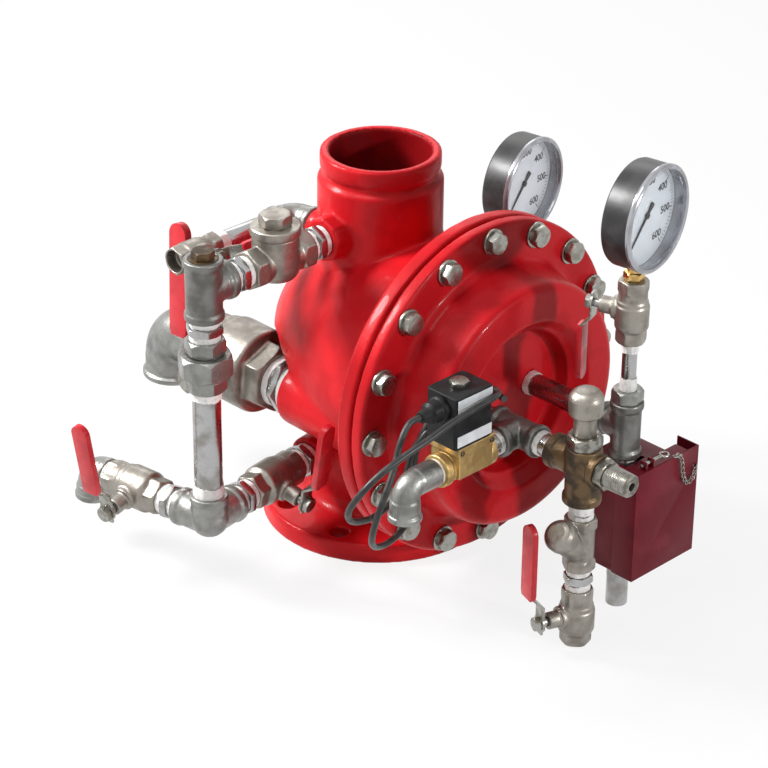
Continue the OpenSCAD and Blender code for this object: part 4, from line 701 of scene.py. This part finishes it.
dress(machined_copy("coil_nut", "solenoid_stem", 0.0005), zinc_plate,
      stands_for=["solenoid_stem"])


def soft_block(name, at, size, edge):
    """A cuboid with softened edges, its middle at a point."""
    bpy.ops.object.select_all(action="DESELECT")
    bpy.ops.mesh.primitive_cube_add(size=1)
    block = bpy.context.object
    block.name = name
    block.data.transform(Matrix.Translation(at) @ Matrix.Diagonal((*size, 1)))
    bpy.ops.object.mode_set(mode="EDIT")
    bpy.ops.mesh.select_all(action="SELECT")
    bpy.ops.mesh.bevel(offset=edge, segments=3, affect="EDGES")
    bpy.ops.object.mode_set(mode="OBJECT")
    bpy.ops.object.shade_smooth_by_angle(angle=math.radians(40))
    return block


def screw_head(name, at, way, radius, tall):
    """A round screw head with a domed edge and a sunk socket, standing out along way."""
    dome, rim, socket = 0.35 * tall, 0.25 * radius, 0.7 * tall
    bpy.ops.object.select_all(action="DESELECT")
    bpy.ops.mesh.primitive_cylinder_add(vertices=32, radius=radius, depth=tall,
                                        location=(0, 0, tall / 2))
    head = bpy.context.object
    head.name = name
    bpy.ops.object.transform_apply(location=True)
    top = [face.index for face in head.data.polygons if face.normal.z > 0.9]
    bpy.ops.object.mode_set(mode="EDIT")
    bpy.ops.mesh.select_mode(type="FACE")
    bpy.ops.mesh.select_all(action="DESELECT")
    bpy.ops.object.mode_set(mode="OBJECT")
    for index in top:
        head.data.polygons[index].select = True
    bpy.ops.object.mode_set(mode="EDIT")
    bpy.ops.mesh.bevel(offset=dome, segments=3, affect="EDGES")
    bpy.ops.mesh.select_all(action="DESELECT")
    bpy.ops.object.mode_set(mode="OBJECT")
    for face in head.data.polygons:
        face.select = face.normal.z > 0.9 and face.center.z > tall * 0.95
    bpy.ops.object.mode_set(mode="EDIT")
    bpy.ops.mesh.inset(thickness=rim)
    bpy.ops.mesh.extrude_region_move(TRANSFORM_OT_translate={"value": (0, 0, -socket)})
    bpy.ops.mesh.select_all(action="SELECT")
    bpy.ops.mesh.normals_make_consistent(inside=False)
    bpy.ops.object.mode_set(mode="OBJECT")
    set_out(head, at, way)
    bpy.ops.object.shade_smooth_by_angle(angle=math.radians(40))
    return head


label_x, label_y = -0.118, -0.2412
label_wide, label_thick, label_edge = 0.0425, 0.0006, 0.0002
for name, low_z, high_z in (("upper_label", 0.2482, 0.2637), ("lower_label", 0.2172, 0.2280)):
    plate = soft_block(name, (label_x, label_y, (low_z + high_z) / 2),
                       (label_wide, label_thick, high_z - low_z), label_edge)
    dress(plate, label_paper)
dark_steel = new_finish("dark_steel", (0.05, 0.045, 0.04), 0.4, metal=0.8)
add_patches(dark_steel, (0.06, 0.055, 0.045), (0.03, 0.027, 0.024), 300, 0.34, 0.5)
for name, x in (("left_block_screw", -0.1315), ("right_block_screw", -0.0945)):
    dress(screw_head(name, (x, -0.2396, 0.2085), (0, -1, 0), radius=0.0024, tall=0.0012),
          dark_steel)

# Latching valve: a bronze cross with a brown, handled skin, a stainless bonnet with its pull
# knob, and a threaded stainless nipple that faces forward.
aged_bronze = new_finish("aged_bronze", (0.085, 0.057, 0.030), 0.5, metal=0.65)
add_patches(aged_bronze, (0.145, 0.09, 0.043), (0.050, 0.036, 0.024), 55, 0.38, 0.6)
add_grain(aged_bronze, 900, 0.0001, 150, 0.0005)
dress(cast_copy("latch_casting", "latch_cross", 0.0008, 4), aged_bronze,
      stands_for=["latch_cross"])
cut_steel = new_finish("cut_steel", (0.26, 0.25, 0.225), 0.3, metal=1.0)
add_patches(cut_steel, (0.30, 0.29, 0.26), (0.15, 0.14, 0.12), 150, 0.24, 0.42)
add_grain(cut_steel, 1400, 0.00003, 160, 0.0001)
cut_thread = new_finish("cut_thread", (0.30, 0.29, 0.26), 0.3, metal=1.0)
add_patches(cut_thread, (0.32, 0.31, 0.28), (0.25, 0.24, 0.21), 700, 0.28, 0.36)
dress(machined_copy("latch_bonnet", "latch_fittings", 0.0005), cut_steel,
      stands_for=["latch_fittings"])
dress(machined_copy("pull_knob", "latch_knob", 0.0005), cast_steel, "knob",
      ["latch_knob"])
thread_taper = 0.0006  # fall of the thread's radius over its length


def thread_sleeve(name, at, way, radius, length, pitch, depth):
    """Ridges of a cut pipe thread, wound round a pipe from a point outwards along way."""
    around, rows_per_turn = 48, 6
    along = int(length / pitch * rows_per_turn)
    bpy.ops.object.select_all(action="DESELECT")
    bpy.ops.mesh.primitive_grid_add(x_subdivisions=around, y_subdivisions=along, size=1)
    sleeve = bpy.context.object
    sleeve.name = name
    for vertex in sleeve.data.vertices:
        share_round, share_long = vertex.co.x + 0.5, vertex.co.y + 0.5
        turns = share_long * length / pitch + share_round
        ridge = abs(2 * (turns % 1) - 1)
        out_by = radius - thread_taper * share_long - depth * (1 - ridge)
        angle = 2 * math.pi * share_round
        vertex.co = (out_by * math.cos(angle), out_by * math.sin(angle), share_long * length)
    bpy.ops.object.mode_set(mode="EDIT")
    bpy.ops.mesh.select_all(action="SELECT")
    bpy.ops.mesh.remove_doubles(threshold=merge_gap)
    bpy.ops.mesh.normals_make_consistent(inside=False)
    bpy.ops.object.mode_set(mode="OBJECT")
    set_out(sleeve, at, way)
    bpy.ops.object.shade_smooth_by_angle(angle=math.radians(50))
    return sleeve


# The tee's plug and two pieces inside the valve are bronze too; the diaphragm is rubber
dress(machined_copy("plug", "tee_plug", 0.0005), aged_bronze, stands_for=["tee_plug"])
wear("check_clapper", aged_bronze)
wear("seat_ring", aged_bronze)
wear("diaphragm", lead_rubber)
dress(thread_sleeve("nipple_thread", (-0.040, -0.3335, 0.188), (0, -1, 0),
                    radius=0.0115, length=0.0232, pitch=0.0023, depth=0.0012),
      cut_thread)
